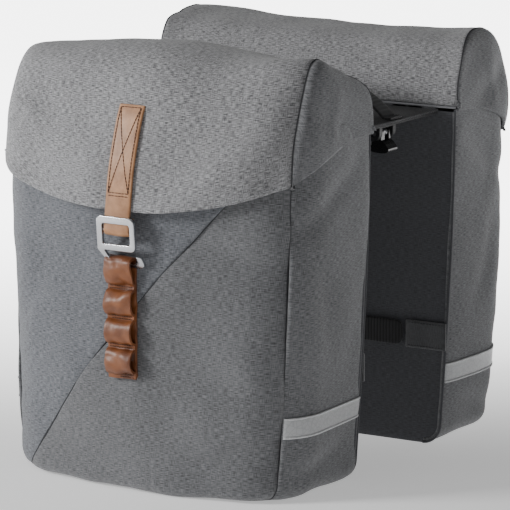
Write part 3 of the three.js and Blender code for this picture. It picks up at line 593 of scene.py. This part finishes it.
def ear(end, bag):
    """The ear at the front end (-1) or the rear end (1): from the wall's side up to the lid's seam."""
    at = np.linspace(0, 1, 60)
    form = np.linspace(0, 1, 200)
    seam = even(np.column_stack(lid_points(end * seam_place(end, form), form, bag)), 60)
    seam[:, 0] *= end
    flat = lid_front_corner - lid_radius - rack_face
    run = at * (flat + lid_radius * (math.pi / 2 - seam_turn[end]))
    angle = np.maximum(run - flat, 0) / lid_radius
    x = lid_half - lid_radius + lid_radius * np.cos(angle)
    out = np.where(run < flat, rack_face + run, lid_front_corner - lid_radius + lid_radius * np.sin(angle))
    bulge = np.where(angle > 0, front_bulge * np.cos(np.pi / 2 * x / lid_half), 0)
    z = hem_z - 3 - (hem_z - 3 - seam[-1, 2]) * (run / run[-1]) ** skirt_curve
    edge = np.column_stack([x, out + bulge - lid_tuck * smoothstep(at, 0.6, 1), z])
    edge[-1] = seam[-1] + [0.4, 0.2, 0]

    def place(u, v):
        low = np.column_stack([np.interp(u, at, column) for column in edge.T])
        high = np.column_stack([np.interp(u, at, column) for column in seam.T])
        lean = 1 - np.sqrt(1 - np.minimum(v, 1) ** 3.2)
        x = low[:, 0] + (high[:, 0] - low[:, 0]) * lean
        out = low[:, 1] + (high[:, 1] - low[:, 1]) * v
        z = low[:, 2] + (high[:, 2] - low[:, 2]) * (1 - (1 - v) ** 1.15)
        return (end * x, out, z), (out + end * ear_shift, z)
    return place


def ear_relief(end, seed):
    def relief(s, t):
        s = s - end * ear_shift
        lift = -1.2 + 1.0 * np.sin(np.pi * np.clip((s - 80) / 120, 0, 1)) * smoothstep(t, 280, 320)
        return lift + unevenness(s, t, 50, 1.4, seed) + folds(s, t, ear_folds)
    return relief


for bag, side in bags.items():
    seed = lid_seed[bag]
    top = sewn_panel(f"{bag}_lid_cloth", side, (100, 118), lid_top(bag), lid_relief(seed),
                     (0.6, 0.6, 0.5, 0.4), lid_cloth_thickness, held=(0, 1))
    top.data.materials.append(lid_cloth)
    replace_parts(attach(top, f"{bag}_lid"), f"{bag}_lid_top")
    for place_name, end in ends.items():
        flap = sewn_panel(f"{bag}_lid_{place_name}_ear", side, (56, 40), ear(end, bag),
                          ear_relief(end, seed + end), (0.4, 0.4, 0.3, 0.6), lid_cloth_thickness, held=(3,))
        flap.data.materials.append(grey_cloth)
        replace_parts(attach(flap, f"{bag}_lid"), f"{bag}_lid_ear_{place_name}")

# ---- Closing straps ----
# A strap of thick oiled leather is sewn down the lid's middle with a box and a cross of brown thread, and a
# double row of stitches at the box's foot. Its end turns round the hook's pivot bar.

strap_width, strap_leather, strap_top = 25, 2.6, 336
hook_pivot, hook_loop = (230.5, 233), 2.7 + strap_leather / 2


def leather_material(name, dark, light, gloss, crease):
    """Oiled full-grain cowhide. Its pores are 0.7 mm apart and its wrinkles 4 mm, and handling darkens it in
    patches; the oil gives it a soft gloss."""
    material, tree, shader = new_material(
        name, Specular_IOR_Level=0.45, Coat_Weight=gloss, Coat_Roughness=0.35,
    )
    hide = add_node(tree, "ShaderNodeTexCoord").outputs["Object"]
    patches = add_node(tree, "ShaderNodeTexNoise", inputs={"Vector": hide, "Scale": 70.0, "Detail": 4.0})
    mix = add_node(tree, "ShaderNodeMix", {"data_type": "RGBA"}, {
        "Factor": add_node(tree, "ShaderNodeMapRange", inputs={
            "Value": patches.outputs["Fac"], "From Min": 0.3, "From Max": 0.7,
        }).outputs["Result"], 6: linear(dark), 7: linear(light),
    })
    pores = add_node(tree, "ShaderNodeTexVoronoi", inputs={"Vector": hide, "Scale": 1500.0})
    wrinkles = add_node(tree, "ShaderNodeTexNoise", inputs={"Vector": hide, "Scale": 260.0, "Detail": 3.0})
    fine = add_node(tree, "ShaderNodeBump", inputs={
        "Height": pores.outputs["Distance"], "Strength": 0.3, "Distance": 0.0002,
    })
    bump = add_node(tree, "ShaderNodeBump", inputs={
        "Height": wrinkles.outputs["Fac"], "Strength": crease, "Distance": 0.0008,
        "Normal": fine.outputs["Normal"],
    })
    worn = add_node(tree, "ShaderNodeMapRange", inputs={
        "Value": wrinkles.outputs["Fac"], "To Min": 0.36, "To Max": 0.58,
    })
    feed(shader, Base_Color=mix.outputs[2], Roughness=worn.outputs["Result"], Normal=bump.outputs["Normal"])
    return material


def thread_material(name, colour, roughness):
    """Twisted thread: its plies show as fine slanted bands, 0.5 mm apart."""
    material, tree, shader = new_material(name, Base_Color=linear(colour), Roughness=roughness)
    plies = add_node(tree, "ShaderNodeTexWave", inputs={
        "Vector": add_node(tree, "ShaderNodeTexCoord").outputs["Object"], "Scale": 600.0, "Distortion": 2.0,
    })
    twist = add_node(tree, "ShaderNodeBump", inputs={
        "Height": plies.outputs["Fac"], "Strength": 0.5, "Distance": 0.0002,
    })
    feed(shader, Normal=twist.outputs["Normal"])
    return material


tan_leather = leather_material("oiled_cowhide_tan", "#9c6e4a", "#c6946c", 0.12, 0.25)
brown_leather = leather_material("oiled_cowhide_brown", "#693a1e", "#8c532b", 0.3, 0.4)
thread_brown = thread_material("waxed_brown_thread", "#4a2a1c", 0.6)


def finish_edges(piece, width, segments=2):
    """Rounds a piece's sharp edges."""
    select_only(piece)
    bevel = piece.modifiers.new("rounding", "BEVEL")
    bevel.width = width * mm
    bevel.segments = segments
    bevel.limit_method = "ANGLE"
    bevel.angle_limit = math.radians(40)
    bpy.ops.object.modifier_apply(modifier=bevel.name)
    bpy.ops.object.shade_smooth_by_angle(angle=math.radians(50))


def strip(name, side, line, width, thickness, cells, relief=None, middle=0):
    """A flat strip along a line of (out, height), with rounded edges and its middle at a place across."""
    path = even(np.array(line, float), 400)
    length = line_length(path)

    def place(u, v):
        at = np.linspace(0, 1, len(path))
        x = width * (u - 0.5)
        return (x + middle, np.interp(v, at, path[:, 0]), np.interp(v, at, path[:, 1])), (x, v * length)
    piece = sewn_panel(name, side, cells, place, relief, (0, 0, 0, 0), 0)
    add_thickness(piece, thickness, offset=0)
    finish_edges(piece, thickness * 0.22)
    return piece


thread_lean = [0.31, 0.87, 0.38]     # a direction that no seam follows, which fixes how a bead lies


def stitch_row(name, side, body, lines, material, pitch, thread, fill=0.42):
    """Rows of stitches along lines of points (x, out, z), each stitch a short rounded bead of thread."""
    bpy.ops.object.select_all(action="DESELECT")
    bpy.ops.mesh.primitive_uv_sphere_add(segments=6, ring_count=4, radius=1)
    bead = bpy.context.object
    corners = np.array([vertex.co for vertex in bead.data.vertices])
    faces = [list(polygon.vertices) for polygon in bead.data.polygons]
    bpy.data.objects.remove(bead)
    points, rings = [], []
    for line in lines:
        line = np.array(line, float)
        holes = even(line, max(int(line_length(line) / pitch), 1) + 1)
        for start, stop in zip(holes[:-1], holes[1:]):
            along = stop - start
            size = np.linalg.norm(along)
            along /= size
            across = np.cross(along, thread_lean)
            across /= np.linalg.norm(across)
            turn = np.stack([across, np.cross(along, across), along])
            centre = (start + stop) / 2
            rings += [[i + len(points) for i in face] for face in faces]
            points += list(centre + (corners * [thread, thread, size * fill]) @ turn)
    mesh = bpy.data.meshes.new(name)
    mesh.from_pydata((np.array(points) * mm * [1, side, 1]).tolist(), [], rings)
    mesh.update()
    if side < 0:
        mesh.flip_normals()
    mesh.materials.append(material)
    mesh.shade_smooth()
    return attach(new_object(name, mesh), body)


def lid_face(x, z, lift):
    """A point over the lid's front at a place across and a height, lifted off the cloth."""
    v = np.linspace(0.55, 1, 400)
    _, out, height = lid_points(np.full(400, float(x)), v, "right")
    i = int(np.argmin(np.abs(height - z)))
    slope = np.array([height[i] - height[i - 1], out[i - 1] - out[i]])
    normal = -slope / np.linalg.norm(slope)
    return np.array([x, out[i] + normal[0] * lift, height[i] + normal[1] * lift])


strap_gap = 0.9                      # between the lid's form and the strap's underside
strap_free, box_low, stitch_inset = 251.5, 264, 2.4
strap_lift = strap_gap + strap_leather / 2
strap_line = [lid_face(0, z, strap_lift)[1:] for z in np.linspace(strap_top, strap_free, 40)]
for angle in np.radians(np.linspace(20, -170, 26)):
    round_bar = hook_loop * math.cos(angle), hook_loop * math.sin(angle)
    strap_line.append((hook_pivot[0] + round_bar[0], hook_pivot[1] + round_bar[1]))
strap_line += [(hook_pivot[0] - hook_loop + 0.3, 238), (hook_pivot[0] - hook_loop + 0.6, 243)]
for bag, side in bags.items():
    strap = strip(f"{bag}_leather_strap", side, strap_line, strap_width, strap_leather, (10, 150),
                  lambda s, t: 0.5 * np.cos(2 * s / strap_width * np.pi / 2) - 0.25)
    strap.data.materials.append(tan_leather)
    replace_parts(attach(strap, f"{bag}_lid"), f"{bag}_lid_strap")
    inset, over = strap_width / 2 - stitch_inset, strap_gap + strap_leather + 0.45
    high, low = strap_top - stitch_inset, box_low
    down = np.linspace(high, low, 30)
    box = [[lid_face(x, z, over) for z in down] for x in (-inset, inset)]
    cross = [[lid_face(turn * inset * (1 - 2 * (high - z) / (high - low)), z, over) for z in down]
             for turn in (-1, 1)]
    rows = [[lid_face(x, z, over) for x in np.linspace(-inset, inset, 8)]
            for z in (high, low, low - stitch_inset)]
    stitch_row(f"{bag}_strap_stitches", side, f"{bag}_lid", box + cross + rows, thread_brown, 3.0, 0.36, 0.52)

# ---- Hooks ----
# A flat G-hook stamped from 4 mm aluminium plate, tumbled and satin anodised. Its set-back bar turns in the
# strap's loop, and the hooked arm below its frame goes through a loop of the ladder.

hook_plate, hook_forward, hook_tilt = 4, 3.8, math.radians(5)
hook_bend_start, hook_bend = -16, math.radians(26)      # the arm is bent inwards below the frame
hook_rim, bar_radius, bar_length = 0.8, 2.2, 33
hook_outline = (                     # x, height over the bar, corner radius
    (-19.2, 12.6, 5.5), (18.6, 12.2, 6), (19.0, -18, 6), (-13.4, -17.6, 1.5), (-12, -22.5, 1.5), (-8.5, -29, 3),
    (16.8, -29, 3), (17.2, -21.6, 0.8), (22.2, -22.2, 1.6), (24.0, -33.5, 6), (-11.5, -33.5, 3.5), (-19.6, -18, 6),
)
hook_window = ((-14, 6, 2.6), (14, 6, 2.6), (14, -11.8, 2.6), (-14, -11.8, 2.6))

# Tumbling leaves the anodised metal with 1 mm patches of slightly different gloss.
anodised, anodised_tree, anodised_shader = new_material(
    "satin_anodised_aluminium", Base_Color=linear("#cfd0d3"), Metallic=1.0,
)
tumbling = add_node(anodised_tree, "ShaderNodeTexNoise", inputs={
    "Vector": add_node(anodised_tree, "ShaderNodeTexCoord").outputs["Object"], "Scale": 900.0, "Detail": 2.0,
})
satin = add_node(anodised_tree, "ShaderNodeMapRange", inputs={
    "Value": tumbling.outputs["Fac"], "To Min": 0.18, "To Max": 0.3,
})
tumbled = add_node(anodised_tree, "ShaderNodeBump", inputs={
    "Height": tumbling.outputs["Fac"], "Strength": 0.15, "Distance": 0.0001,
})
feed(anodised_shader, Roughness=satin.outputs["Result"], Normal=tumbled.outputs["Normal"])


def mesh_from_curve(name, curve):
    select_only(new_object(name, curve))
    bpy.ops.object.convert(target="MESH")
    return bpy.context.object


def rounded(corners):
    """A closed outline through some corners, each rounded by its own radius."""
    outline = []
    for i, (x, z, radius) in enumerate(corners):
        here = np.array([x, z])
        before = np.array(corners[i - 1][:2]) - here
        after = np.array(corners[(i + 1) % len(corners)][:2]) - here
        before, after = before / np.linalg.norm(before), after / np.linalg.norm(after)
        half = math.acos(float(np.clip(before @ after, -1, 1))) / 2
        reach = radius / math.tan(half)
        start, stop = here + before * reach, here + after * reach
        for t in np.linspace(0, 1, 7):
            outline.append((1 - t) ** 2 * start + 2 * (1 - t) * t * here + t * t * stop)
    return outline


def flat_plate(name, outlines, thickness, bevel):
    """A plate cut to closed outlines, with rounded rims, standing up across Y = 0."""
    sheet = bpy.data.curves.new(name, "CURVE")
    sheet.dimensions = "2D"
    sheet.fill_mode = "BOTH"
    sheet.extrude = (thickness / 2 - bevel) * mm
    sheet.bevel_depth = bevel * mm
    sheet.bevel_resolution = 3
    sheet.offset = -bevel * mm
    for outline in outlines:
        spline = sheet.splines.new("POLY")
        spline.points.add(len(outline) - 1)
        for point, (x, z) in zip(spline.points, outline):
            point.co = (x * mm, z * mm, 0, 1)
        spline.use_cyclic_u = True
    piece = mesh_from_curve(name, sheet)
    bpy.ops.object.mode_set(mode="EDIT")
    bpy.ops.mesh.select_all(action="SELECT")
    bpy.ops.mesh.remove_doubles(threshold=1e-6)
    bpy.ops.mesh.normals_make_consistent(inside=False)
    bpy.ops.object.mode_set(mode="OBJECT")
    return piece


for bag, side in bags.items():
    hook = flat_plate(f"{bag}_g_hook", [rounded(hook_outline), rounded(hook_window)], hook_plate, hook_rim)
    bpy.ops.mesh.primitive_cylinder_add(
        vertices=24, radius=bar_radius * mm, depth=bar_length * mm,
        location=(0, 0, -hook_forward * mm), rotation=(0, math.pi / 2, 0),
    )
    bar = bpy.context.object
    finish_edges(bar, 0.5)
    hook.select_set(True)
    bpy.context.view_layer.objects.active = hook
    bpy.ops.object.join()
    hook = bpy.context.object
    places = np.array([vertex.co for vertex in hook.data.vertices])
    forward = places[:, 2] + hook_forward * mm
    forward -= np.maximum(hook_bend_start * mm - places[:, 1], 0) * math.tan(hook_bend)
    out = hook_pivot[0] * mm + places[:, 1] * math.sin(hook_tilt) + forward * math.cos(hook_tilt)
    height = hook_pivot[1] * mm + places[:, 1] * math.cos(hook_tilt) - forward * math.sin(hook_tilt)
    hook.data.vertices.foreach_set("co", np.column_stack([places[:, 0], side * out, height]).ravel())
    if side > 0:
        hook.data.flip_normals()
    hook.data.update()
    hook.data.materials.clear()
    hook.data.materials.append(anodised)
    select_only(hook)
    bpy.ops.object.shade_smooth_by_angle(angle=math.radians(35))
    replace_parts(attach(hook, f"{bag}_hook"), f"{bag}_hook")

# ---- Loop ladders ----
# A folded strip of softer brown leather under the hook. Its front layer is tacked down with bar stitches at
# four heights, so that it stands off in loops, and its oiled surface is glossy.

ladder_width, ladder_middle, ladder_leather, ladder_arch, tack_band = 27, -2, 2.2, 7.4, 5
ladder_fold, ladder_tacks = 207, (182, 156, 131, 105)


def front_face(z):
    return float(bag_front(np.zeros(1), np.array([float(z)]))[0]) + 0.5


def ladder_path():
    line = [(front_face(z) + ladder_leather / 2, z) for z in np.linspace(104, ladder_fold - 1, 20)]
    top = front_face(ladder_fold) + ladder_leather / 2
    line += [(top + 1.2, ladder_fold + 1), (top + 4, ladder_fold + 1.6), (top + 7.6, ladder_fold + 1)]
    high = ladder_fold
    for number, low in enumerate(ladder_tacks):
        foot = low + tack_band / 2
        for t in np.linspace(0, 1, 14)[1:]:
            arch = math.cos(math.pi / 2 * t) ** 0.45 if number == 0 else math.sin(math.pi * t) ** 0.45
            z = high + (foot - high) * t
            line.append((front_face(z) + 1.5 * ladder_leather + ladder_arch * max(arch, 0), z))
        high = low - tack_band / 2
        line.append((front_face(high) + 1.5 * ladder_leather, high))
    return line


def ladder_relief(s, t):
    """Each loop is pinched where the hook has creased it, more on one side than on the other."""
    loop = (t - 112) / 36
    pinch = np.sin(2 * np.pi * loop + 0.13 * s)
    return (0.8 * pinch + 0.3 * np.abs(s / 13.5) ** 3) * smoothstep(t, 108, 122) + unevenness(s, t, 9, 1.8, 9)


for bag, side in bags.items():
    ladder = strip(f"{bag}_leather_ladder", side, ladder_path(), ladder_width, ladder_leather, (12, 220),
                   ladder_relief, ladder_middle)
    ladder.data.materials.append(brown_leather)
    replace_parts(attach(ladder, "frame"), f"{bag}_loop_ladder")
    bars = []
    for z in ladder_tacks:
        for row in (-1.1, 1.1):
            out = front_face(z) + 2 * ladder_leather + 0.2
            bars.append([(ladder_middle + end * (ladder_width / 2 - 1.5), out, z + row) for end in (-1, 1)])
    stitch_row(f"{bag}_ladder_tacks", side, "frame", bars, thread_brown, 2.4, 0.4)

# ---- Reflectors ----
# A silver retroreflective band is sewn round each side wall, with a white woven edge along both sides.

reflector_middle, reflector_height, reflector_edge, tape_thickness = 67, 18, 1.7, 0.8

# The glass beads lie under a clear film, which is sealed to the tape in 4 mm cells.
glass_bead, glass_tree, glass_shader = new_material(
    "glass_bead_reflective_tape", Roughness=0.42, Metallic=0.25,
)
cells = add_node(glass_tree, "ShaderNodeTexVoronoi", {"feature": "DISTANCE_TO_EDGE"}, {
    "Vector": add_node(glass_tree, "ShaderNodeTexCoord").outputs["UV"], "Scale": 260.0,
})
silver = add_node(glass_tree, "ShaderNodeMix", {"data_type": "RGBA"}, {
    "Factor": add_node(glass_tree, "ShaderNodeMapRange", inputs={
        "Value": cells.outputs["Distance"], "From Max": 0.12,
    }).outputs["Result"], 6: linear("#a5a6a8"), 7: linear("#b3b4b5"),
})
feed(glass_shader, Base_Color=silver.outputs[2])
white_edge = cloth_material("woven_white_edge_tape", "#b9babc", "#d8d9da")


def band(end, seed, low, high, lift):
    """A band of a side wall between two heights, lifted off its cloth, as its place and its relief."""
    wall, cloth = gusset_wall(end), gusset_relief(end, seed + 60 + end)

    def place(u, v):
        z = low + (high - low) * v
        share = edge_rows + (1 - edge_rows) * (z - side_edge_radius) / (mouth_z - side_edge_radius)
        return wall(0.012 + (0.983 if end > 0 else 0.95) * u, share)
    return place, lambda s, t: cloth(s, t) + lift


for bag, side in bags.items():
    seed = wall_seed[bag]
    for place_name, end in ends.items():
        low, high = reflector_middle - reflector_height / 2, reflector_middle + reflector_height / 2
        tape = sewn_panel(f"{bag}_{place_name}_reflector", side, (44, 6), *band(end, seed, low, high, 1.0),
                          (1.0, 1.2, 0, 0), tape_thickness)
        tape.data.materials.append(glass_bead)
        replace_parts(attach(tape, "frame"), f"{bag}_reflector_{place_name}")
        for edge, foot in (("upper", high - reflector_edge), ("lower", low)):
            rim = sewn_panel(f"{bag}_{place_name}_reflector_{edge}_edge", side, (44, 2),
                             *band(end, seed, foot, foot + reflector_edge, 1.5), (1.0, 1.2, 0, 0), tape_thickness)
            rim.data.materials.append(white_edge)
            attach(rim, "frame")

# ---- Seams and topstitching ----
# The skirt's folded edge has a row of light stitches. A thin dark cord, painted shade, lies in the seam grooves
# round each ear, at the front corners and along the diagonal seam, and a light grey piping closes the lid's hem.


def over_surface(piece, side, points, lift):
    """Moves points (x, out, z) onto a piece's nearest surface and lifts them off it, in millimetres."""
    lifted = []
    for x, out, z in points:
        x = float(settle(x, z))
        _, place, normal, _ = piece.closest_point_on_mesh(Vector((x, side * out, z)) * mm)
        place = place / mm + normal * lift
        lifted.append((place.x, side * place.y, place.z))
    return lifted


def cord_along(name, side, body, line, radius, material):
    """A thin round cord sewn along a line of points, made from a curve."""
    curve = bpy.data.curves.new(name, "CURVE")
    curve.dimensions = "3D"
    curve.bevel_depth = radius * mm
    curve.bevel_resolution = 2
    curve.use_fill_caps = True
    spline = curve.splines.new("POLY")
    spline.points.add(len(line) - 1)
    for point, (x, out, z) in zip(spline.points, line):
        point.co = (x * mm, side * out * mm, z * mm, 1)
    piece = mesh_from_curve(name, curve)
    piece.data.materials.append(material)
    piece.data.shade_smooth()
    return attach(piece, body)


piping = cloth_material("woven_piping_light_grey", "#77787c", "#96979b")
thread_grey = thread_material("polyester_thread_light_grey", "#a9aaad", 0.7)
# dark grey thread for real stitches, which also draws the thin dark cords in the seams as painted shade in their
# grooves
dark_thread_and_seam_shade = thread_material("dark_grey_thread_and_painted_seam_shade", "#38393c", 0.8)
skirt_stitch_inset, seam_shade_radius, piping_radius = 2.6, 0.5, 1.0

for bag, side in bags.items():
    lid = bpy.data.objects[f"{bag}_lid_cloth"]
    across = np.linspace(-lid_seam[-1] + 3, lid_seam[1] - 3, 120)
    skirt = lid_points(across, np.full(across.size, 1 - skirt_stitch_inset / lid_length), bag)
    skirt = over_surface(lid, side, np.column_stack(skirt), 0.15)
    stitch_row(f"{bag}_skirt_stitches", side, f"{bag}_lid", [skirt], thread_grey, 3.4, 0.42)
    v = np.linspace(0.02, 0.985, 140)
    for number, end in enumerate(ends.values()):
        seam = over_surface(lid, side, np.column_stack(lid_points(end * seam_place(end, v), v, bag)), 0.1)
        # a thin dark cord along the ear's seam: painted shade in its groove
        cord_along(f"{bag}_ear_seam_{number + 1}", side, f"{bag}_lid", seam, seam_shade_radius, dark_thread_and_seam_shade)
    heights = wall_height(np.linspace(0.02, 0.93, 130))
    for place_name, end in ends.items():
        x = end * front_reach(heights, end)
        wall = bpy.data.objects[f"{bag}_lower_front" if end > 0 else f"{bag}_upper_front"]
        line = over_surface(wall, side, np.column_stack([x, bag_front(x, heights), heights]), 0.0)
        # a thin dark cord along the corner seam: painted shade in its groove
        cord_along(f"{bag}_corner_seam_{place_name}", side, "frame", line, seam_shade_radius, dark_thread_and_seam_shade)
    heights = np.linspace(4, 305, 120)
    x = seam_across(heights)
    wall = bpy.data.objects[f"{bag}_lower_front"]
    inside = np.abs(x) < front_reach(heights) - 1
    line = over_surface(wall, side, np.column_stack([x, bag_front(x, heights), heights])[inside], 0.0)
    # a thin dark cord along the diagonal seam: painted shade in its groove
    cord_along(f"{bag}_diagonal_seam", side, "frame", line, seam_shade_radius, dark_thread_and_seam_shade)
    hem_half = bag_section(np.array([hem_z - 1.0]))[0][0]
    hem = [(x, rack_face - 0.2 + 1.2 * (abs(x) / 156) ** 6, hem_z - 0.4)
           for x in np.linspace(-hem_half, hem_half, 60)]
    cord_along(f"{bag}_hem_piping", side, "frame", hem, piping_radius, piping)
    heights = wall_height(np.linspace(0.0, 0.955, 90))
    half = bag_section(heights)[0]
    for place_name, end in ends.items():
        edge = [(settle(end * (h - 0.6), z), rack_face + 0.9, z + 0.9) for h, z in zip(half, heights)]
        cord_along(f"{bag}_rack_edge_{place_name}", side, "frame", edge, piping_radius, dark_cloth)

# ---- Lower rack straps ----
# Black webbing that wraps the rack's leg: a sewn end, a free tab, and the loop-tape sleeve it closes on.


def webbing_material(name, colour, lit_ridge_colour):
    """Ribbed polyester webbing. Its ribs are 3.2 mm apart and run across the band. Its colour is lighter on the
    ribs' crests, which follow the bump: a painted highlight on the crests and painted shade between them.
    """
    material, tree, shader = new_material(name, Roughness=0.8, Sheen_Weight=0.2)
    ribs = add_node(tree, "ShaderNodeTexWave", {"bands_direction": "Y"}, {
        "Vector": add_node(tree, "ShaderNodeTexCoord").outputs["UV"], "Scale": 98.0,
        "Distortion": 0.6, "Detail": 2.0, "Detail Scale": 3.0,
    })
    # painted highlight and shade: the crests of the ribs take the lighter colour and the grooves the darker one,
    # by the bump's own pattern
    mix = add_node(tree, "ShaderNodeMix", {"data_type": "RGBA"}, {
        "Factor": ribs.outputs["Fac"], 6: linear(colour), 7: linear(lit_ridge_colour),
    })
    bump = add_node(tree, "ShaderNodeBump", inputs={
        "Height": ribs.outputs["Fac"], "Strength": 0.6, "Distance": 0.0005,
    })
    feed(shader, Base_Color=mix.outputs[2], Normal=bump.outputs["Normal"])
    return material


# the second colour is the painted highlight on the crests of the ribs
black_webbing = webbing_material("ribbed_webbing_black", "#0e0e0f", "#1d1d20")
loop_tape = cloth_material("brushed_loop_tape_charcoal", "#232427", "#3a3b3f", sheen=0.6)

rack_strap_height, rack_strap_place = 22, 101
tab_box, tape_ends = (16, 32), (111, 148)      # where the tab's and the loop tape's stitches start and end


def flat_band(name, side, from_x, to_x, height, out, thickness, cells, material, round_end=0):
    """A flat band on the rack side, along X, with its far end rounded where asked."""
    def place(u, v):
        x = from_x + (to_x - from_x) * v
        past = np.clip(x - (to_x - round_end), 0, max(round_end, 1e-6))
        cut = round_end - np.sqrt(np.maximum(round_end ** 2 - past ** 2, 0)) if round_end else 0
        half = height / 2 - cut
        z = rack_strap_place + half * (1 - 2 * u)
        lie = out - 0.5 * np.sin(np.pi * v * 3) * (1 if round_end else 0.3)
        return (x, lie, z), (z, x)
    piece = sewn_panel(name, side, cells, place, None, (0, 0, 0, 0), 0)
    add_thickness(piece, thickness, offset=0)
    finish_edges(piece, 0.5)
    piece.data.materials.append(material)
    return piece


for bag, side in bags.items():
    tab = flat_band(f"{bag}_rack_strap", side, 14, 105, rack_strap_height, rack_face - 1.7, 2.0, (8, 60),
                    black_webbing, 6)
    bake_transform(tab)
    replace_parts(tab, f"{bag}_strap_anchor", f"{bag}_strap_tab")
    sleeve = flat_band(f"{bag}_strap_loop_tape", side, 109, 150, 25, rack_face - 1.8, 2.4, (8, 24), loop_tape)
    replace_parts(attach(sleeve, "frame"), f"{bag}_strap_sleeve")
    out = rack_face - 3.1
    low, high = rack_strap_place - 9, rack_strap_place + 9
    (a, b), (c, d) = [[(x, out, z) for x in tab_box] for z in (low, high)]
    box = [[a, b], [c, d], [a, c], [b, d], [a, d], [c, b]]
    stitch_row(f"{bag}_rack_strap_stitches", side, "frame", box, dark_thread_and_seam_shade, 3.0, 0.4)
    low, high = rack_strap_place - 10.5, rack_strap_place + 10.5
    edge = [[(x, out, z) for x in tape_ends] for z in (low, high)]
    stitch_row(f"{bag}_loop_tape_stitches", side, "frame", edge, dark_thread_and_seam_shade, 3.0, 0.4)

# ---- Bridge and handle ----
# A plastic board covered in black cloth joins the bags over the rack. Its edge is bound in grosgrain, and a
# webbing handle arches along it with its ends sewn flat.

bridge_top, bridge_thickness, bridge_half = 308.5, 4, 140
bridge_cloth = cloth_material("coated_polyester_black", "#101012", "#1e1f21", roughness=0.7, sheen=0.1)
# the lighter grey is the painted highlight on the crests of the binding's ribs
binding = webbing_material("grosgrain_binding_grey", "#3c3d40", "#525357")

bpy.ops.object.select_all(action="DESELECT")
bpy.ops.mesh.primitive_cube_add(size=1, location=(0, 0, (bridge_top - bridge_thickness / 2) * mm))
board = bpy.context.object
board.name = "bridge_cover"
board.scale = (2 * (bridge_half - 0.4) * mm, 2 * (rack_face - 0.8) * mm, bridge_thickness * mm)
bpy.ops.object.transform_apply(location=True, rotation=True, scale=True)
finish_edges(board, 1.4, 4)
board.data.materials.append(bridge_cloth)
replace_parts(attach(board, "frame"), "bridge_board")
for place_name, end in ends.items():
    rim = [(end * (bridge_half - 0.2), y, bridge_top - 0.6)
           for y in np.linspace(-rack_face + 2, rack_face - 2, 30)]
    cord_along(f"bridge_binding_{place_name}", 1, "frame", rim, 0.8, binding)

handle_width, handle_webbing, handle_rise, handle_half, handle_axis = 20, 2.5, 34, 131, 330.1
handle_lie = bridge_top + 0.6        # the underside of the handle's sewn ends


def handle_line(x):
    """The height of the handle's middle at a place along the bridge."""
    return handle_lie + handle_webbing / 2 + handle_rise * max(1 - abs(x / handle_half) ** 4, 0)


def webbing_arch(name, xs, cells):
    """Half of the handle, with its edges bowed down where it stands free."""
    line = even(np.array([(x, handle_line(x)) for x in xs]), 200)

    def place(u, v):
        at = np.linspace(0, 1, len(line))
        x, z = np.interp(v, at, line[:, 0]), np.interp(v, at, line[:, 1])
        y = handle_width * (0.5 - u)
        bowed = 1.1 * (2 * u - 1) ** 2 * np.sin(np.pi * np.clip((130 - np.abs(x)) / 130, 0, 1))
        return (x, y, z - bowed), (y, x)
    piece = sewn_panel(name, 1, cells, place, None, (0, 0, 0, 0), 0)
    add_thickness(piece, handle_webbing * 0.86, offset=0)
    finish_edges(piece, 0.6)
    piece.data.materials.append(black_webbing)
    return piece


for place_name, end in ends.items():
    half = webbing_arch(f"handle_{place_name}_half", end * np.linspace(0, bridge_half - 1, 120), (8, 110))
    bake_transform(half)
    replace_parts(half, f"handle_patch_{place_name}", "carry_handle")
    top = handle_lie + handle_webbing
    rows = [[(end * (handle_half + 1 + step), y, top) for y in (-8.5, 8.5)] for step in (0, 2.6, 5.2)]
    stitch_row(f"handle_{place_name}_stitches", 1, "frame", rows, dark_thread_and_seam_shade, 2.8, 0.4)

# ---- Rack adapter ----
# The adapter and its latch are injection moulded from black glass-filled nylon, with a fine spark-eroded
# texture; the latch is handled and smoother. Pin, spring and screws are steel.


def moulded_nylon(name, colour, roughness, texture):
    """Glass-filled nylon from a textured mould: an even 0.4 mm grain that softens the gloss."""
    material, tree, shader = new_material(name, Base_Color=linear(colour))
    grain = add_node(tree, "ShaderNodeTexNoise", inputs={
        "Vector": add_node(tree, "ShaderNodeTexCoord").outputs["Object"], "Scale": 2600.0, "Detail": 2.0,
    })
    bump = add_node(tree, "ShaderNodeBump", inputs={
        "Height": grain.outputs["Fac"], "Strength": texture, "Distance": 0.0001,
    })
    wear = add_node(tree, "ShaderNodeMapRange", inputs={
        "Value": grain.outputs["Fac"], "To Min": roughness - 0.08, "To Max": roughness + 0.08,
    })
    feed(shader, Roughness=wear.outputs["Result"], Normal=bump.outputs["Normal"])
    return material


textured_nylon = moulded_nylon("textured_black_nylon", "#17181a", 0.52, 0.6)
smooth_nylon = moulded_nylon("smooth_black_nylon", "#121213", 0.28, 0.15)
# Zinc plating is bright, with a dull bloom in 2 mm patches.
zinc_steel, zinc_tree, zinc_shader = new_material(
    "zinc_plated_steel", Base_Color=linear("#b4b6b8"), Metallic=1.0,
)
plating = add_node(zinc_tree, "ShaderNodeTexNoise", inputs={
    "Vector": add_node(zinc_tree, "ShaderNodeTexCoord").outputs["Object"], "Scale": 500.0,
})
bloom = add_node(zinc_tree, "ShaderNodeMapRange", inputs={
    "Value": plating.outputs["Fac"], "To Min": 0.22, "To Max": 0.4,
})
feed(zinc_shader, Roughness=bloom.outputs["Result"])
board_plastic = moulded_nylon("extruded_grey_sheet", "#5b5c5f", 0.6, 0.3)

cad_finishes = {"adapter_plate": textured_nylon, "latch_lever": smooth_nylon}
for node_name, node in frame["nodes"].items():
    if not node.hide_render:
        steel_or_board = board_plastic if node_name.endswith("board") else zinc_steel
        node.data.materials.clear()
        node.data.materials.append(cad_finishes.get(node_name, steel_or_board))
